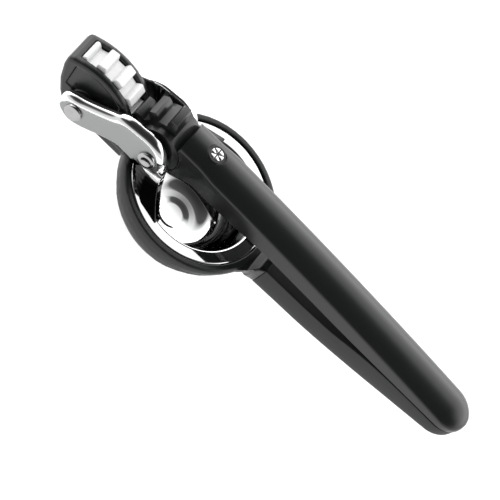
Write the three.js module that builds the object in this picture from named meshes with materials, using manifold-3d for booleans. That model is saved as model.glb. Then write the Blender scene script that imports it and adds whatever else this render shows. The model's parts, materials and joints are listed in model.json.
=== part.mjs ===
// Geared two-handle hand press for citrus halves.
//
// A ring-shaped lower frame holds a perforated bowl. Two arms carry the plunger and swing on a rear
// pin in the gear housing behind the ring. The upper handle turns on a front pin between the arms,
// and its pinion rolls on a toothed segment fixed in the housing, so the handle drives the plunger.
//
// Millimetres. X runs along the handles towards their tips, Y across, Z up. Heights below are
// measured from the ring's top edge, on the bowl's axis. The finished model is lifted by the bowl's
// depth, which puts the origin on the bowl's axis at the underside of its flat foot.
import * as THREE from 'three';
import { mergeVertices } from 'three/addons/utils/BufferGeometryUtils.js';
import Module from 'manifold-3d';

const wasm = await Module();
wasm.setup();

// ---------------------------------------------------------------- driving dimensions
const gap = { seam: 0.3, running: 0.3, tooth: 0.4 };

const ringBore = 33.3;
const ring = {
  innerR: ringBore, topR: ringBore + 2.5, bulgeR: ringBore + 3.7, footR: ringBore + 2.7, height: 10.0,
  handleSideHeight: 3.7, neckSideHeight: 7.0,
};

const bowl = {
  depth: 34.0, sheet: 0.8, lipR: ring.innerR - gap.seam, lipDepth: 2.0, lipSlope: 0.05,
  shoulderR: ring.innerR - 3.7, wallDepth: 8.0, footR: 10.0, holeR: 1.6,
  holeRings: [{ r: 7.6, count: 8 }, { r: 15.5, count: 14 }],
};

const plunger = {
  sheet: 1.0, flangeR: ring.innerR - 0.8, rimR: ring.innerR - 6.3, rimDrop: 0.75,
  throatR: ring.innerR - 8.7, throatDrop: 7.0,
  floorDrop: 26.4, floorR: 9.0, pitR: 7.8, pitDepth: 0.5,
};

const gears = {
  module: 3.05, sunTeeth: 14, pinionTeeth: 10, pressureAngle: 20, backlash: 0.55,
  halfWidth: 5.5, lineAngle: 18.4, topToothAngle: 128, sunToothCount: 6, pinionToothCount: 4,
};

// The front pivot stands above the plunger's rear edge, and the rear one lies a centre distance behind.
const radians = THREE.MathUtils.degToRad;
const sunPitchR = gears.module * gears.sunTeeth / 2;
const pinionPitchR = gears.module * gears.pinionTeeth / 2;
const centreDistance = sunPitchR + pinionPitchR;
const frontPivotX = -(ring.topR - 8.73);
const rearPivot = { x: frontPivotX - centreDistance * Math.cos(radians(gears.lineAngle)), z: -1.4 };
const frontPivot = {
  x: frontPivotX,
  z: rearPivot.z + centreDistance * Math.sin(radians(gears.lineAngle)),
};

const pin = { shaftR: 3.0, headR: 4.2, headHeight: 0.9 };
const bush = { wall: 1.0 };
const washer = { outerR: 5.4 };

const housing = {
  halfWidth: 9.0, floorDepth: 12.4, floorWall: 3.0, endWall: 3.8, tailX: rearPivot.x - 17.5,
  topZ: 18.8, topR: 29.0, hubR: 8.0, panelRecess: 0.6, panelBorder: 2.9, edge: 1.6,
};

const neck = { halfWidth: housing.halfWidth + 0.5 };

const arm = { innerY: housing.halfWidth + 1.8, thickness: 5.2, edge: 1.1, rearR: 8.2 };

const collar = { halfWidth: 10.3, endX: ring.topR + 6.2, topZ: 4.1, bottomZ: -11.2 };
const tongue = {
  halfWidth: 5.5, endX: ring.topR + 76.2, topZ: 1.0, bottomZ: -4.6, endTopZ: 5.6, endBottomZ: 1.6,
};

const handle = {
  halfWidth: 10.0, headHalfWidth: housing.halfWidth, hubR: 10.8, crown: 4.2, tipX: 150.0, wall: 2.0,
  linerThickness: 1.6, linerLift: 0.6, meetingGap: 0.5, coreEndX: 46.0, coreHalfWidth: 6.0,
};

const badge = { fromPivot: 19.0, r: 4.2, recess: 0.5, thickness: 1.6 };

// Height of the upper handle's long edges above the ring, halfway and at its tip.
const edgeLine = { middleZ: 21.2, endZ: 11.6 };

const roundSteps = 48;
const pinSteps = 20;

// ---------------------------------------------------------------- derived sizes
const sunTipR = sunPitchR + 0.345 * gears.module;
const sunRootR = sunPitchR - 0.803 * gears.module;
const pinionTipR = pinionPitchR + 0.64 * gears.module;
const pinionRootR = pinionPitchR - 0.803 * gears.module;
const sunPitch = 360 / gears.sunTeeth;
const pinionPitch = 360 / gears.pinionTeeth;
const badgeX = frontPivot.x + badge.fromPivot;
const armOuterY = arm.innerY + arm.thickness;
const bushInnerR = pin.shaftR + gap.running;
const bushOuterR = bushInnerR + bush.wall;
const bushHoleR = bushOuterR + gap.seam;
const pocketHalfWidth = gears.halfWidth + gap.seam;
const innerFloorZ = -(housing.floorDepth - housing.floorWall);

// ---------------------------------------------------------------- solids from three.js geometry
function facingOut(geometry) {
  const p = geometry.getAttribute('position');
  const index = geometry.getIndex();
  const corners = [new THREE.Vector3(), new THREE.Vector3(), new THREE.Vector3()];
  let volume = 0;
  for (let i = 0; i < index.count; i += 3) {
    corners.forEach((corner, k) => corner.fromBufferAttribute(p, index.getX(i + k)));
    volume += corners[0].dot(corners[1].clone().cross(corners[2]));
  }
  return volume > 0;
}

// Turns closed three.js geometry into a solid that can be joined and cut.
function solid(geometry) {
  const bare = geometry.index ? geometry.toNonIndexed() : geometry.clone();
  for (const name of Object.keys(bare.attributes)) {
    if (name !== 'position') bare.deleteAttribute(name);
  }
  const merged = mergeVertices(bare, 1e-4);
  const out = facingOut(merged);
  const index = merged.getIndex();
  const triangles = [];
  for (let i = 0; i < index.count; i += 3) {
    const [a, b, c] = [index.getX(i), index.getX(i + 1), index.getX(i + 2)];
    if (a === b || b === c || c === a) continue;
    triangles.push(...(out ? [a, b, c] : [a, c, b]));
  }
  const mesh = new wasm.Mesh({
    numProp: 3,
    vertProperties: new Float32Array(merged.getAttribute('position').array),
    triVerts: new Uint32Array(triangles),
  });
  return new wasm.Manifold(mesh);
}

function geometryOf(body) {
  const mesh = body.getMesh();
  const geometry = new THREE.BufferGeometry();
  geometry.setAttribute('position', new THREE.BufferAttribute(new Float32Array(mesh.vertProperties), 3));
  geometry.setIndex(new THREE.BufferAttribute(new Uint32Array(mesh.triVerts), 1));
  geometry.computeVertexNormals();
  return geometry;
}

function joined(first, ...others) {
  return others.reduce((body, other) => body.add(other), first);
}

function cut(first, ...others) {
  return others.reduce((body, other) => body.subtract(other), first);
}

function outline(points) {
  return new THREE.Shape(points.map(([a, b]) => new THREE.Vector2(a, b)));
}

// A side view drawn in X and Z, given thickness in Y from lowY to highY, with optional worn edges.
function sideSlab(shape, lowY, highY, edge = 0) {
  const geometry = new THREE.ExtrudeGeometry(shape, {
    depth: highY - lowY - 2 * edge, curveSegments: 6, steps: 1, bevelEnabled: edge > 0,
    bevelThickness: edge, bevelSize: edge, bevelOffset: -edge, bevelSegments: 2,
  });
  geometry.rotateX(Math.PI / 2);
  geometry.translate(0, highY - edge, 0);
  return solid(geometry);
}

// A plan view drawn in X and Y, given height from lowZ to highZ.
function planSlab(shape, lowZ, highZ) {
  const geometry = new THREE.ExtrudeGeometry(shape, {
    depth: highZ - lowZ, curveSegments: 12, steps: 1, bevelEnabled: false,
  });
  geometry.translate(0, 0, lowZ);
  return solid(geometry);
}

// A profile of [radius, height] points turned about the bowl's axis.
function turned(profile, steps = roundSteps) {
  const geometry = new THREE.LatheGeometry(profile.map(([r, z]) => new THREE.Vector2(r, z)), steps);
  geometry.rotateX(Math.PI / 2);
  return solid(geometry);
}

// A cylinder lying across the press on a pivot's axis.
function crossCylinder(pivot, r, lowY, highY, steps = pinSteps) {
  const geometry = new THREE.CylinderGeometry(r, r, highY - lowY, steps);
  geometry.translate(pivot.x, (lowY + highY) / 2, pivot.z);
  return solid(geometry);
}

function uprightCylinder(x, y, r, lowZ, highZ, steps = pinSteps) {
  const geometry = new THREE.CylinderGeometry(r, r, highZ - lowZ, steps);
  geometry.rotateX(Math.PI / 2);
  geometry.translate(x, y, (lowZ + highZ) / 2);
  return solid(geometry);
}

// Points on an arc in the side view, angles in degrees from +X towards +Z.
function arc(centre, r, fromAngle, toAngle, steps) {
  return Array.from({ length: steps + 1 }, (_, i) => {
    const a = radians(fromAngle + (toAngle - fromAngle) * i / steps);
    return [centre.x + r * Math.cos(a), centre.z + r * Math.sin(a)];
  });
}

// ---------------------------------------------------------------- gear teeth
const involute = (a) => Math.tan(a) - a;

// Half the angle that a tooth covers at radius r, in degrees.
function toothHalfAngle(pitchR, teeth, r) {
  const pressure = radians(gears.pressureAngle);
  const baseR = pitchR * Math.cos(pressure);
  const atPitch = Math.PI / (2 * teeth) - gears.backlash / (4 * pitchR);
  const here = Math.acos(baseR / Math.max(r, baseR));
  return THREE.MathUtils.radToDeg(atPitch + involute(pressure) - involute(here));
}

// One tooth's outline, from the root on its low side over the tip to the root on its high side.
const flankSteps = 5;

function toothPoints(centre, angle, pitchR, teeth, rootR, tipR) {
  const radii = Array.from({ length: flankSteps + 1 }, (_, i) => rootR + (tipR - rootR) * i / flankSteps);
  const at = (r, side) => {
    const a = radians(angle + side * toothHalfAngle(pitchR, teeth, r));
    return [centre.x + r * Math.cos(a), centre.z + r * Math.sin(a)];
  };
  return [...radii.map((r) => at(r, -1)), ...radii.reverse().map((r) => at(r, 1))];
}

function toothRow(centre, angles, pitchR, teeth, rootR, tipR) {
  return angles.flatMap((angle) => toothPoints(centre, angle, pitchR, teeth, rootR, tipR));
}

// The segment's teeth, counted down from the one against the housing's end wall.
const sunAngles = Array.from({ length: gears.sunToothCount }, (_, i) => gears.topToothAngle - i * sunPitch)
  .reverse();

// The pinion's gap faces each segment tooth, so its teeth sit half a pitch to either side.
const meshingToothAngle = sunAngles[1];
const facingGapAngle = 180 + gears.lineAngle
  - (meshingToothAngle - gears.lineAngle) * gears.sunTeeth / gears.pinionTeeth;
const pinionAngles = Array.from({ length: gears.pinionToothCount },
  (_, i) => facingGapAngle + pinionPitch / 2 - (gears.pinionToothCount - 1 - i) * pinionPitch);

// ---------------------------------------------------------------- bowl, ring and lower handle
const lipHeight = (r) => -(bowl.lipDepth + (bowl.lipR - r) * bowl.lipSlope);

// The bowl drops into the ring's bore, and the underside of its lip comes to rest on a ledge.
const ringBoreR = bowl.shoulderR + bowl.sheet + gap.seam;
const ledgeZ = lipHeight(bowl.shoulderR) - bowl.sheet - gap.seam;

function bowlProfile() {
  const innerWall = bowl.shoulderR;
  const innerFloor = -(bowl.depth - bowl.sheet);
  const bend = (t) => {
    const a = t * Math.PI / 2;
    const r = bowl.footR + (innerWall - bowl.footR) * Math.cos(a);
    const z = -bowl.wallDepth + (innerFloor + bowl.wallDepth) * Math.sin(a);
    return [r, z];
  };
  const inside = Array.from({ length: 9 }, (_, i) => bend(i / 8));
  const outside = inside.map(([r, z], i) => {
    const a = i / 8 * Math.PI / 2;
    return [r + bowl.sheet * Math.cos(a), z - bowl.sheet * Math.sin(a)];
  });
  return [
    [0, -bowl.depth],
    ...outside.reverse(),
    [innerWall + bowl.sheet, lipHeight(innerWall) - bowl.sheet],
    [bowl.lipR, lipHeight(bowl.lipR) - bowl.sheet],
    [bowl.lipR, lipHeight(bowl.lipR)],
    [innerWall, lipHeight(innerWall)],
    ...inside,
    [0, innerFloor],
  ];
}

function strainerBowl() {
  const drains = bowl.holeRings.flatMap(({ r, count }) => Array.from({ length: count }, (_, i) => {
    const a = 2 * Math.PI * (i + 0.5) / count;
    return uprightCylinder(r * Math.cos(a), r * Math.sin(a), bowl.holeR, -bowl.depth - 1,
      -bowl.depth + 8, 12);
  }));
  return cut(turned(bowlProfile()), ...drains);
}

function ringBody() {
  const middle = -ring.height / 2;
  return turned([
    [ringBoreR, -ring.height],
    [ring.footR, -ring.height],
    [(ring.footR + ring.bulgeR) / 2 + 0.25, -ring.height * 0.8],
    [ring.bulgeR, middle],
    [(ring.topR + ring.bulgeR) / 2 + 0.25, -ring.height * 0.2],
    [ring.topR, 0],
    [ring.innerR, 0],
    [ring.innerR, ledgeZ],
    [ringBoreR, ledgeZ],
    [ringBoreR, -ring.height],
  ]);
}

// The ring is deepest beside the bowl's middle and gets shallower towards the neck and the handle.
function ringUndercut() {
  const reach = ring.bulgeR + 2;
  const low = -ring.height;
  const rear = -ring.neckSideHeight;
  const front = -ring.handleSideHeight;
  return sideSlab(outline([
    [-reach, low - 1], [reach, low - 1], [reach, front], [0.78 * ring.topR, front],
    [0.52 * ring.topR, front + 0.28 * (low - front)], [0.35 * ring.topR, front + 0.53 * (low - front)],
    [0.14 * ring.topR, front + 0.84 * (low - front)], [-0.11 * ring.topR, low],
    [-0.5 * ring.topR, low + 0.1 * (rear - low)], [-0.67 * ring.topR, low + 0.55 * (rear - low)],
    [-0.84 * ring.topR, rear], [-reach, rear],
  ]), -reach, reach);
}

// The housing's long outline: end wall sloping back, low arched top, front dropping to the neck.
function housingOutline() {
  const topCentre = { x: rearPivot.x - 0.7, z: housing.topZ - housing.topR };
  const bottomZ = -housing.floorDepth;
  const top = arc(topCentre, housing.topR, 117.5, 57, 10);
  return outline([
    [-ring.innerR - 1, bottomZ],
    [-ring.innerR - 1, 0],
    [-ring.topR - 1.2, 0.2],
    [-ring.topR - 3.4, 5.0],
    [-ring.topR - 6.8, 10.8],
    ...top.reverse(),
    [housing.tailX + 1.9, 14.9],
    [housing.tailX + 0.4, 13.6],
    [housing.tailX, 11.4],
    [housing.tailX + 0.5, 7.6],
    [housing.tailX + 3.2, -0.6],
    [housing.tailX + 6.8, -7.0],
    [housing.tailX + 10.6, bottomZ + 0.8],
    [housing.tailX + 13.6, bottomZ],
  ]);
}

// The end wall's inner face, a wall's thickness inside the tail, from above the housing to its floor.
function tailInside(wall) {
  const x = housing.tailX + wall;
  return [[x, 30.0], [x, 12.6], [x + 4.2, -1.5], [x + 7.4, -6.6]];
}

// The pocket's front wall between the housing and the ring, from its floor up.
function pocketFront(shift) {
  const x = -ring.topR - shift;
  return [[x - 10.2, innerFloorZ + shift], [x - 3.8, -6.6], [x - 2.4, -4.0], [x - 2.4, -1.2]];
}

// What the housing leaves open between its cheeks for the toothed segment and the pinion.
function gearPocket() {
  const wall = housing.endWall;
  return sideSlab(outline([
    [housing.tailX + 12.8, innerFloorZ],
    ...pocketFront(0),
    [-0.9 * ring.innerR, -1.2],
    [-0.9 * ring.innerR, 30.0],
    ...tailInside(wall),
  ]), -pocketHalfWidth, pocketHalfWidth);
}

function sidePanels() {
  const centre = { x: rearPivot.x - 0.7, z: housing.topZ - housing.topR };
  const shape = outline([
    ...arc(centre, housing.topR - housing.panelBorder, 117, 60, 8),
    [-ring.topR - 10.7, 0.0],
    [housing.tailX + 6.7, 0.0],
  ]);
  const depth = housing.halfWidth - housing.panelRecess;
  return joined(sideSlab(shape, depth, depth + 3), sideSlab(shape, -depth - 3, -depth));
}

function neckFlare() {
  const n = neck.halfWidth;
  const r = ring.topR;
  const shape = new THREE.Shape();
  shape.moveTo(-r - 9.2, -n);
  shape.lineTo(-r - 2.2, -n);
  shape.quadraticCurveTo(-0.92 * r, -n - 1, -0.72 * r, -0.68 * r);
  shape.lineTo(-0.72 * r, 0.68 * r);
  shape.quadraticCurveTo(-0.92 * r, n + 1, -r - 2.2, n);
  shape.lineTo(-r - 9.2, n);
  return planSlab(shape, -ring.neckSideHeight - 0.4, -0.8);
}

function collarBody() {
  const w = collar.halfWidth;
  const r = ring.topR;
  const plan = new THREE.Shape();
  plan.moveTo(0.61 * r, -0.78 * r);
  plan.quadraticCurveTo(0.9 * r, -w - 5, collar.endX, -w);
  plan.lineTo(collar.endX, w);
  plan.quadraticCurveTo(0.9 * r, w + 5, 0.61 * r, 0.78 * r);
  const side = outline([
    [0.56 * r, -ring.handleSideHeight], [0.84 * r, -ring.handleSideHeight],
    [r + 1.2, -ring.handleSideHeight - 3.0], [collar.endX - 1.2, collar.bottomZ + 0.1],
    [collar.endX, collar.bottomZ], [collar.endX, collar.topZ], [collar.endX - 2.5, collar.topZ - 0.3],
    [r + 0.4, -0.4], [0.56 * r, -0.4],
  ]);
  const belly = sweptSection(w, new THREE.LineCurve3(
    new THREE.Vector3(0, 0, 0.6), new THREE.Vector3(collar.endX + 1, 0, 0.6)));
  const wings = planSlab(plan, -0.4 * ring.height, 10);
  return planSlab(plan, -20, 10).intersect(sideSlab(side, -30, 30)).intersect(joined(belly, wings));
}

function tongueOutline(grow = 0) {
  return outline([
    [collar.endX - 3, tongue.bottomZ - grow], [tongue.endX + grow, tongue.endBottomZ - grow],
    [tongue.endX + grow, tongue.endTopZ + grow], [collar.endX - 3, tongue.topZ + grow],
  ]);
}

function lowerFrame() {
  const houseSlab = sideSlab(housingOutline(), -housing.halfWidth, housing.halfWidth, housing.edge);
  const hubs = crossCylinder(rearPivot, washer.outerR + 0.4, -housing.halfWidth, housing.halfWidth, 32);
  const body = joined(
    cut(ringBody(), ringUndercut()),
    cut(houseSlab, sidePanels()),
    hubs,
    neckFlare(),
    collarBody(),
    sideSlab(tongueOutline(), -tongue.halfWidth, tongue.halfWidth),
  );
  const bowlSpace = turned([
    [0, -30], [ringBoreR, -30], [ringBoreR, ledgeZ], [ring.innerR, ledgeZ],
    [ring.innerR, 20], [0, 20],
  ]);
  const hubSpace = crossCylinder(frontPivot, handle.hubR + gap.tooth, -30, 30, 48);
  const pinBore = crossCylinder(rearPivot, bushHoleR, -30, 30);
  return cut(body, bowlSpace, gearPocket(), hubSpace, pinBore);
}

function gearSegment() {
  const teeth = toothRow(rearPivot, sunAngles, sunPitchR, gears.sunTeeth, sunRootR, sunTipR);
  const lowEnd = sunAngles[0] - sunPitch / 2;
  const shape = outline([
    ...arc(rearPivot, sunRootR, lowEnd, lowEnd + 3, 1),
    ...teeth.slice(0, -flankSteps - 1),
    ...arc(rearPivot, sunTipR, gears.topToothAngle + 2, gears.topToothAngle + 22, 4),
    ...arc(rearPivot, housing.hubR, 190, 300, 8),
  ]);
  const body = sideSlab(shape, -gears.halfWidth, gears.halfWidth);
  const wall = housing.endWall + gap.seam;
  const room = sideSlab(outline([
    [housing.tailX + 12.8, innerFloorZ + gap.seam], ...pocketFront(gap.seam), [-ring.topR - 2.7, 30.0],
    ...tailInside(wall),
  ]), -gears.halfWidth - 1, gears.halfWidth + 1);
  return cut(body.intersect(room), crossCylinder(rearPivot, bushHoleR, -10, 10));
}

// The handles' rounded tip in plan view, drawn from one straight side round to the other.
function tipCurve(shape, halfWidth, tipX) {
  const side = halfWidth - 0.4;
  const bend = 0.56 * halfWidth;
  shape.lineTo(tipX - 11, -side);
  shape.bezierCurveTo(tipX - 4.5, -side, tipX, -bend, tipX, 0);
  shape.bezierCurveTo(tipX, bend, tipX - 4.5, side, tipX - 11, side);
}

function gripPlan(startX, halfWidth, tipX) {
  const shape = new THREE.Shape();
  shape.moveTo(startX, -halfWidth);
  tipCurve(shape, halfWidth, tipX);
  shape.lineTo(startX, halfWidth);
  return shape;
}

// The upper handle is narrow between the arms and widens once it is clear of their swing.
function upperPlan(inset) {
  const head = handle.headHalfWidth - inset;
  const half = handle.halfWidth - inset;
  const shoulder = frontPivot.x + 17;
  const shape = new THREE.Shape();
  shape.moveTo(frontPivot.x - 13, -head);
  shape.lineTo(shoulder, -head);
  shape.quadraticCurveTo(shoulder + 4, -half, shoulder + 11, -half);
  tipCurve(shape, half, handle.tipX - inset);
  shape.lineTo(shoulder + 11, half);
  shape.quadraticCurveTo(shoulder + 4, half, shoulder, head);
  shape.lineTo(frontPivot.x - 13, head);
  return shape;
}

// The line where the two closed handles meet, seen from the side, from the front pivot to the tips.
const along = (share) => share * handle.tipX;
const tipEnd = handle.tipX + 2;
const meetingLine = [
  [frontPivot.x + 9.5, frontPivot.z - 6.2], [frontPivot.x + 15.1, frontPivot.z - 3.8],
  [frontPivot.x + 21.1, 9.6], [along(0.11), 10.3], [along(0.22), 11.6], [along(0.38), 10.9],
  [along(0.587), 9.8], [along(0.787), 9.4], [tipEnd, 9.0],
];

function lowerGrip() {
  const start = collar.endX + gap.seam;
  const side = outline([
    [start, collar.bottomZ], [along(0.367), -10.6], [along(0.48), -9.9], [along(0.66), -7.2],
    [along(0.84), -3.0], [along(0.933), -0.6], [tipEnd, 1.6], [tipEnd, 9.0 - handle.meetingGap],
    [along(0.787), 9.4 - handle.meetingGap], [along(0.693), 8.7], [along(0.613), 7.2],
    [along(0.533), 5.2], [along(0.413), 4.3], [start, collar.topZ],
  ]);
  const path = new THREE.QuadraticBezierCurve3(
    new THREE.Vector3(start - 2, 0, 0.6), new THREE.Vector3(along(0.613), 0, 1.2),
    new THREE.Vector3(tipEnd + 1, 0, 12));
  const sweep = sweptSection(handle.halfWidth, path);
  const plan = planSlab(gripPlan(start, handle.halfWidth, handle.tipX - 0.6), -30, 30);
  const body = sideSlab(side, -20, 20).intersect(plan).intersect(sweep);
  const half = tongue.halfWidth + gap.seam;
  return cut(body, sideSlab(tongueOutline(gap.seam), -half, half));
}

// The lower handle's flat-topped section with a round belly, swept along X. Sections swept this way
// have their second coordinate pointing down.
function sweptSection(w, path) {
  const section = new THREE.Shape();
  section.moveTo(-w, 12);
  section.lineTo(-w, -4);
  section.bezierCurveTo(-w, -9, -w + 2.5, -12, -4, -12);
  section.lineTo(4, -12);
  section.bezierCurveTo(w - 2.5, -12, w, -9, w, -4);
  section.lineTo(w, 12);
  const flipped = outline(section.getPoints(5).map((p) => [p.x, -p.y]));
  return solid(new THREE.ExtrudeGeometry(flipped, { steps: 14, curveSegments: 5, extrudePath: path }));
}

// ---------------------------------------------------------------- arms and plunger
function armOutline() {
  const shape = new THREE.Shape();
  const { x: rx, z: rz } = rearPivot;
  const { x: fx, z: fz } = frontPivot;
  const back = rx - arm.rearR;
  shape.moveTo(back, rz);
  shape.bezierCurveTo(back, rz + 3.6, rx - 6.2, rz + 5.0, rx - 3.0, rz + 6.2);
  shape.lineTo(rx + 11.0, rz + 14.6);
  shape.bezierCurveTo(rx + 15.5, rz + 17.6, rx + 16.5, rz + 19.4, rx + 21.5, rz + 20.2);
  shape.bezierCurveTo(fx - 7.5, fz + 10.0, fx + 1.5, fz + 10.2, fx + 4.6, fz + 5.4);
  shape.bezierCurveTo(fx + 7.6, fz + 1.2, fx + 10.4, fz - 4.0, fx + 12.6, fz - 9.4);
  shape.lineTo(fx + 14.0, -1.9);
  shape.lineTo(fx + 1.0, -0.6);
  shape.bezierCurveTo(fx - 1.4, fz - 8.6, fx - 4.6, fz - 8.4, fx - 8.0, fz - 8.2);
  shape.bezierCurveTo(fx - 14.0, fz - 7.6, rx + 12.0, rz - 2.0, rx + 7.0, rz - 4.6);
  shape.bezierCurveTo(rx + 4.6, rz - 6.0, rx + 3.0, rz - 7.0, rx, rz - 7.0);
  shape.bezierCurveTo(rx - 4.4, rz - 7.0, back, rz - 4.4, back, rz);
  return shape;
}

function armBody(side) {
  const [low, high] = side > 0 ? [arm.innerY, armOuterY] : [-armOuterY, -arm.innerY];
  const plate = sideSlab(armOutline(), low, high, arm.edge);
  const inner = plunger.flangeR + 0.1;
  const outer = ring.bulgeR + 0.6;
  const ringRoom = turned([[inner, -20], [outer, -20], [outer, gap.seam], [inner, gap.seam], [inner, -20]]);
  const flangeRoom = turned([
    [0, -40], [60, -40], [60, flangeTop(60) + gap.seam], [plunger.rimR, flangeTop(plunger.rimR) + gap.seam],
    [0, flangeTop(plunger.rimR) + gap.seam],
  ]);
  const bores = [rearPivot, frontPivot].map((p) => crossCylinder(p, pin.shaftR + gap.seam, -30, 30));
  return cut(plate, ringRoom, flangeRoom.intersect(insideRing()), ...bores);
}

// The space that the ring encloses, without the arms' stretch behind it.
function insideRing() {
  return uprightCylinder(0, 0, plunger.flangeR + 0.2, -45, 10, roundSteps);
}

const flangeTop = (r) => -plunger.rimDrop + (r - plunger.rimR) * bowl.lipSlope;

// A shallow-lipped cup: sloping flange, short throat, domed wall, and a floor with a round pit.
function plungerCup() {
  const t = plunger.sheet;
  const wall = (i, offset) => {
    const a = i / 7 * Math.PI / 2;
    return [
      plunger.floorR + (plunger.throatR - plunger.floorR) * Math.cos(a) + offset * Math.cos(a),
      -plunger.throatDrop - (plunger.floorDrop - plunger.throatDrop) * Math.sin(a) - offset * Math.sin(a),
    ];
  };
  const inside = Array.from({ length: 8 }, (_, i) => wall(i, 0));
  const outside = Array.from({ length: 8 }, (_, i) => wall(7 - i, t));
  const pitFloor = -plunger.floorDrop - plunger.pitDepth;
  const cup = turned([
    [0, pitFloor - t],
    [plunger.pitR - 0.4, pitFloor - t],
    [plunger.pitR + 0.6, -plunger.floorDrop - t],
    ...outside,
    [plunger.throatR + t, -plunger.throatDrop + 1.0],
    [plunger.rimR, flangeTop(plunger.rimR) - t],
    [plunger.flangeR, flangeTop(plunger.flangeR) - t],
    [plunger.flangeR, flangeTop(plunger.flangeR)],
    [plunger.rimR, flangeTop(plunger.rimR)],
    [plunger.throatR + 0.6, -plunger.throatDrop + 1.6],
    ...inside,
    [plunger.pitR, -plunger.floorDrop],
    [plunger.pitR - 2.6, pitFloor],
    [0, pitFloor],
  ]);
  return cut(cup, headSweep());
}

// The hub turns just above the cup's rear edge, and the pinion's last tooth swings through it.
function headSweep() {
  const half = gears.halfWidth + gap.tooth;
  const hubHalf = handle.headHalfWidth + gap.running;
  return joined(
    crossCylinder(frontPivot, pinionTipR + gap.tooth, -half, half, 48),
    crossCylinder(frontPivot, handle.hubR + gap.running, -hubHalf, hubHalf, 48),
  );
}

function pivotPin(pivot) {
  const near = -armOuterY - gap.seam;
  return joined(
    crossCylinder(pivot, pin.shaftR, near - 0.1, armOuterY - gap.seam),
    crossCylinder(pivot, pin.headR, near - pin.headHeight, near),
    crossCylinder(pivot, pin.headR - 1.0, near - pin.headHeight - 0.3, near - 0.1),
  );
}

function pinCap(pivot) {
  const far = armOuterY + gap.seam;
  return joined(
    crossCylinder(pivot, pin.headR, far, far + pin.headHeight),
    crossCylinder(pivot, pin.headR - 1.0, far + 0.1, far + pin.headHeight + 0.3),
  );
}

function tube(pivot, innerR, outerR, lowY, highY) {
  return cut(crossCylinder(pivot, outerR, lowY, highY), crossCylinder(pivot, innerR, lowY - 1, highY + 1));
}

function pivotBush(pivot, halfWidth) {
  return tube(pivot, bushInnerR, bushOuterR, -halfWidth + gap.seam, halfWidth - gap.seam);
}

function sideWasher(pivot, side, halfWidth) {
  const low = halfWidth + gap.seam;
  const high = arm.innerY - gap.seam;
  return tube(pivot, bushInnerR, washer.outerR, side > 0 ? low : -high, side > 0 ? high : -low);
}

// ---------------------------------------------------------------- upper handle
const edgePath = () => new THREE.QuadraticBezierCurve3(
  new THREE.Vector3(frontPivot.x + 3, 0, frontPivot.z + 11.45),
  new THREE.Vector3(along(0.427), 0, edgeLine.middleZ),
  new THREE.Vector3(tipEnd, 0, edgeLine.endZ));

// The crowned section of the handle, thinner all round by inset.
function crownedBar(inset) {
  const w = handle.halfWidth - inset;
  const points = [[-w, -24]];
  for (let i = 0; i <= 10; i += 1) {
    const u = -1 + i / 5;
    points.push([w * u, (handle.crown) * (1 - Math.abs(u) ** 2.3) - inset]);
  }
  points.push([w, -24]);
  const section = outline(points.map(([a, b]) => [a, -b]));
  return solid(new THREE.ExtrudeGeometry(section, { steps: 14, curveSegments: 1, extrudePath: edgePath() }));
}

const hubSpaceR = () => handle.hubR + gap.seam;

function shellSide(inset) {
  const bottom = meetingLine.slice(1).map(([x, z]) => [x, z - (inset > 0 ? 1 : 0)]);
  const front = arc(frontPivot, hubSpaceR() + inset, -34, 66, 10);
  const frontX = frontPivot.x + 7.6 + inset;
  return outline([
    ...bottom, [tipEnd, 40], [frontX, 40], [frontX, frontPivot.z + 15.8 - inset],
    ...front.reverse(),
  ]);
}

function upperShell() {
  const outer = sideSlab(shellSide(0), -20, 20)
    .intersect(planSlab(upperPlan(0), -5, 40))
    .intersect(crownedBar(0));
  const w = handle.wall;
  const inner = sideSlab(shellSide(w), -20, 20)
    .intersect(planSlab(upperPlan(w), -5, 40))
    .intersect(crownedBar(w));
  const coreSlot = sideSlab(coreTongue(gap.seam), -handle.coreHalfWidth - gap.seam,
    handle.coreHalfWidth + gap.seam);
  return cut(outer, inner, coreSlot, badgeSeat(gap.seam));
}

// The spine runs from the hub along the shell's inside, just above the liner.
function coreTongue(grow) {
  const startX = frontPivot.x + handle.hubR + 5;
  const above = handle.linerLift + handle.linerThickness + gap.seam;
  const bottom = meetingLine.filter(([x]) => x > startX && x < handle.coreEndX)
    .map(([x, z]) => [x, z + above - grow]);
  const [, endZ] = bottom.at(-1);
  return outline([
    [frontPivot.x, frontPivot.z - 1.5 - grow],
    [startX, bottom[0][1]],
    ...bottom,
    [handle.coreEndX + grow, endZ],
    [handle.coreEndX + grow, endZ + 4.4 + 2 * grow],
    [badgeX, frontPivot.z + 9.4 + grow],
    [frontPivot.x, frontPivot.z + 7.5 + grow],
  ]);
}

function handleCore() {
  const teeth = toothRow(frontPivot, pinionAngles, pinionPitchR, gears.pinionTeeth,
    pinionRootR, pinionTipR);
  const lastAngle = pinionAngles.at(-1);
  const plainStart = lastAngle + pinionPitch / 2;
  const plainEnd = pinionAngles[0] + 360 - pinionPitch / 2;
  const pinion = sideSlab(outline([
    ...teeth, ...arc(frontPivot, handle.hubR, plainStart, plainEnd, 12),
  ]), -gears.halfWidth, gears.halfWidth);
  const hub = crossCylinder(frontPivot, handle.hubR, -handle.headHalfWidth, handle.headHalfWidth, 40);
  const spine = sideSlab(coreTongue(0), -handle.coreHalfWidth, handle.coreHalfWidth);
  return cut(joined(pinion, hub, spine), crossCylinder(frontPivot, bushHoleR, -20, 20));
}

function upperLiner() {
  const inset = handle.wall + gap.seam;
  const low = meetingLine.slice(2, -1).map(([x, z]) => [x, z + handle.linerLift]);
  const high = low.map(([x, z]) => [x, z + handle.linerThickness]).reverse();
  const slab = sideSlab(outline([...low, ...high]), -20, 20);
  return slab.intersect(planSlab(upperPlan(inset), -5, 40)).intersect(crownedBar(inset));
}

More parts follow.
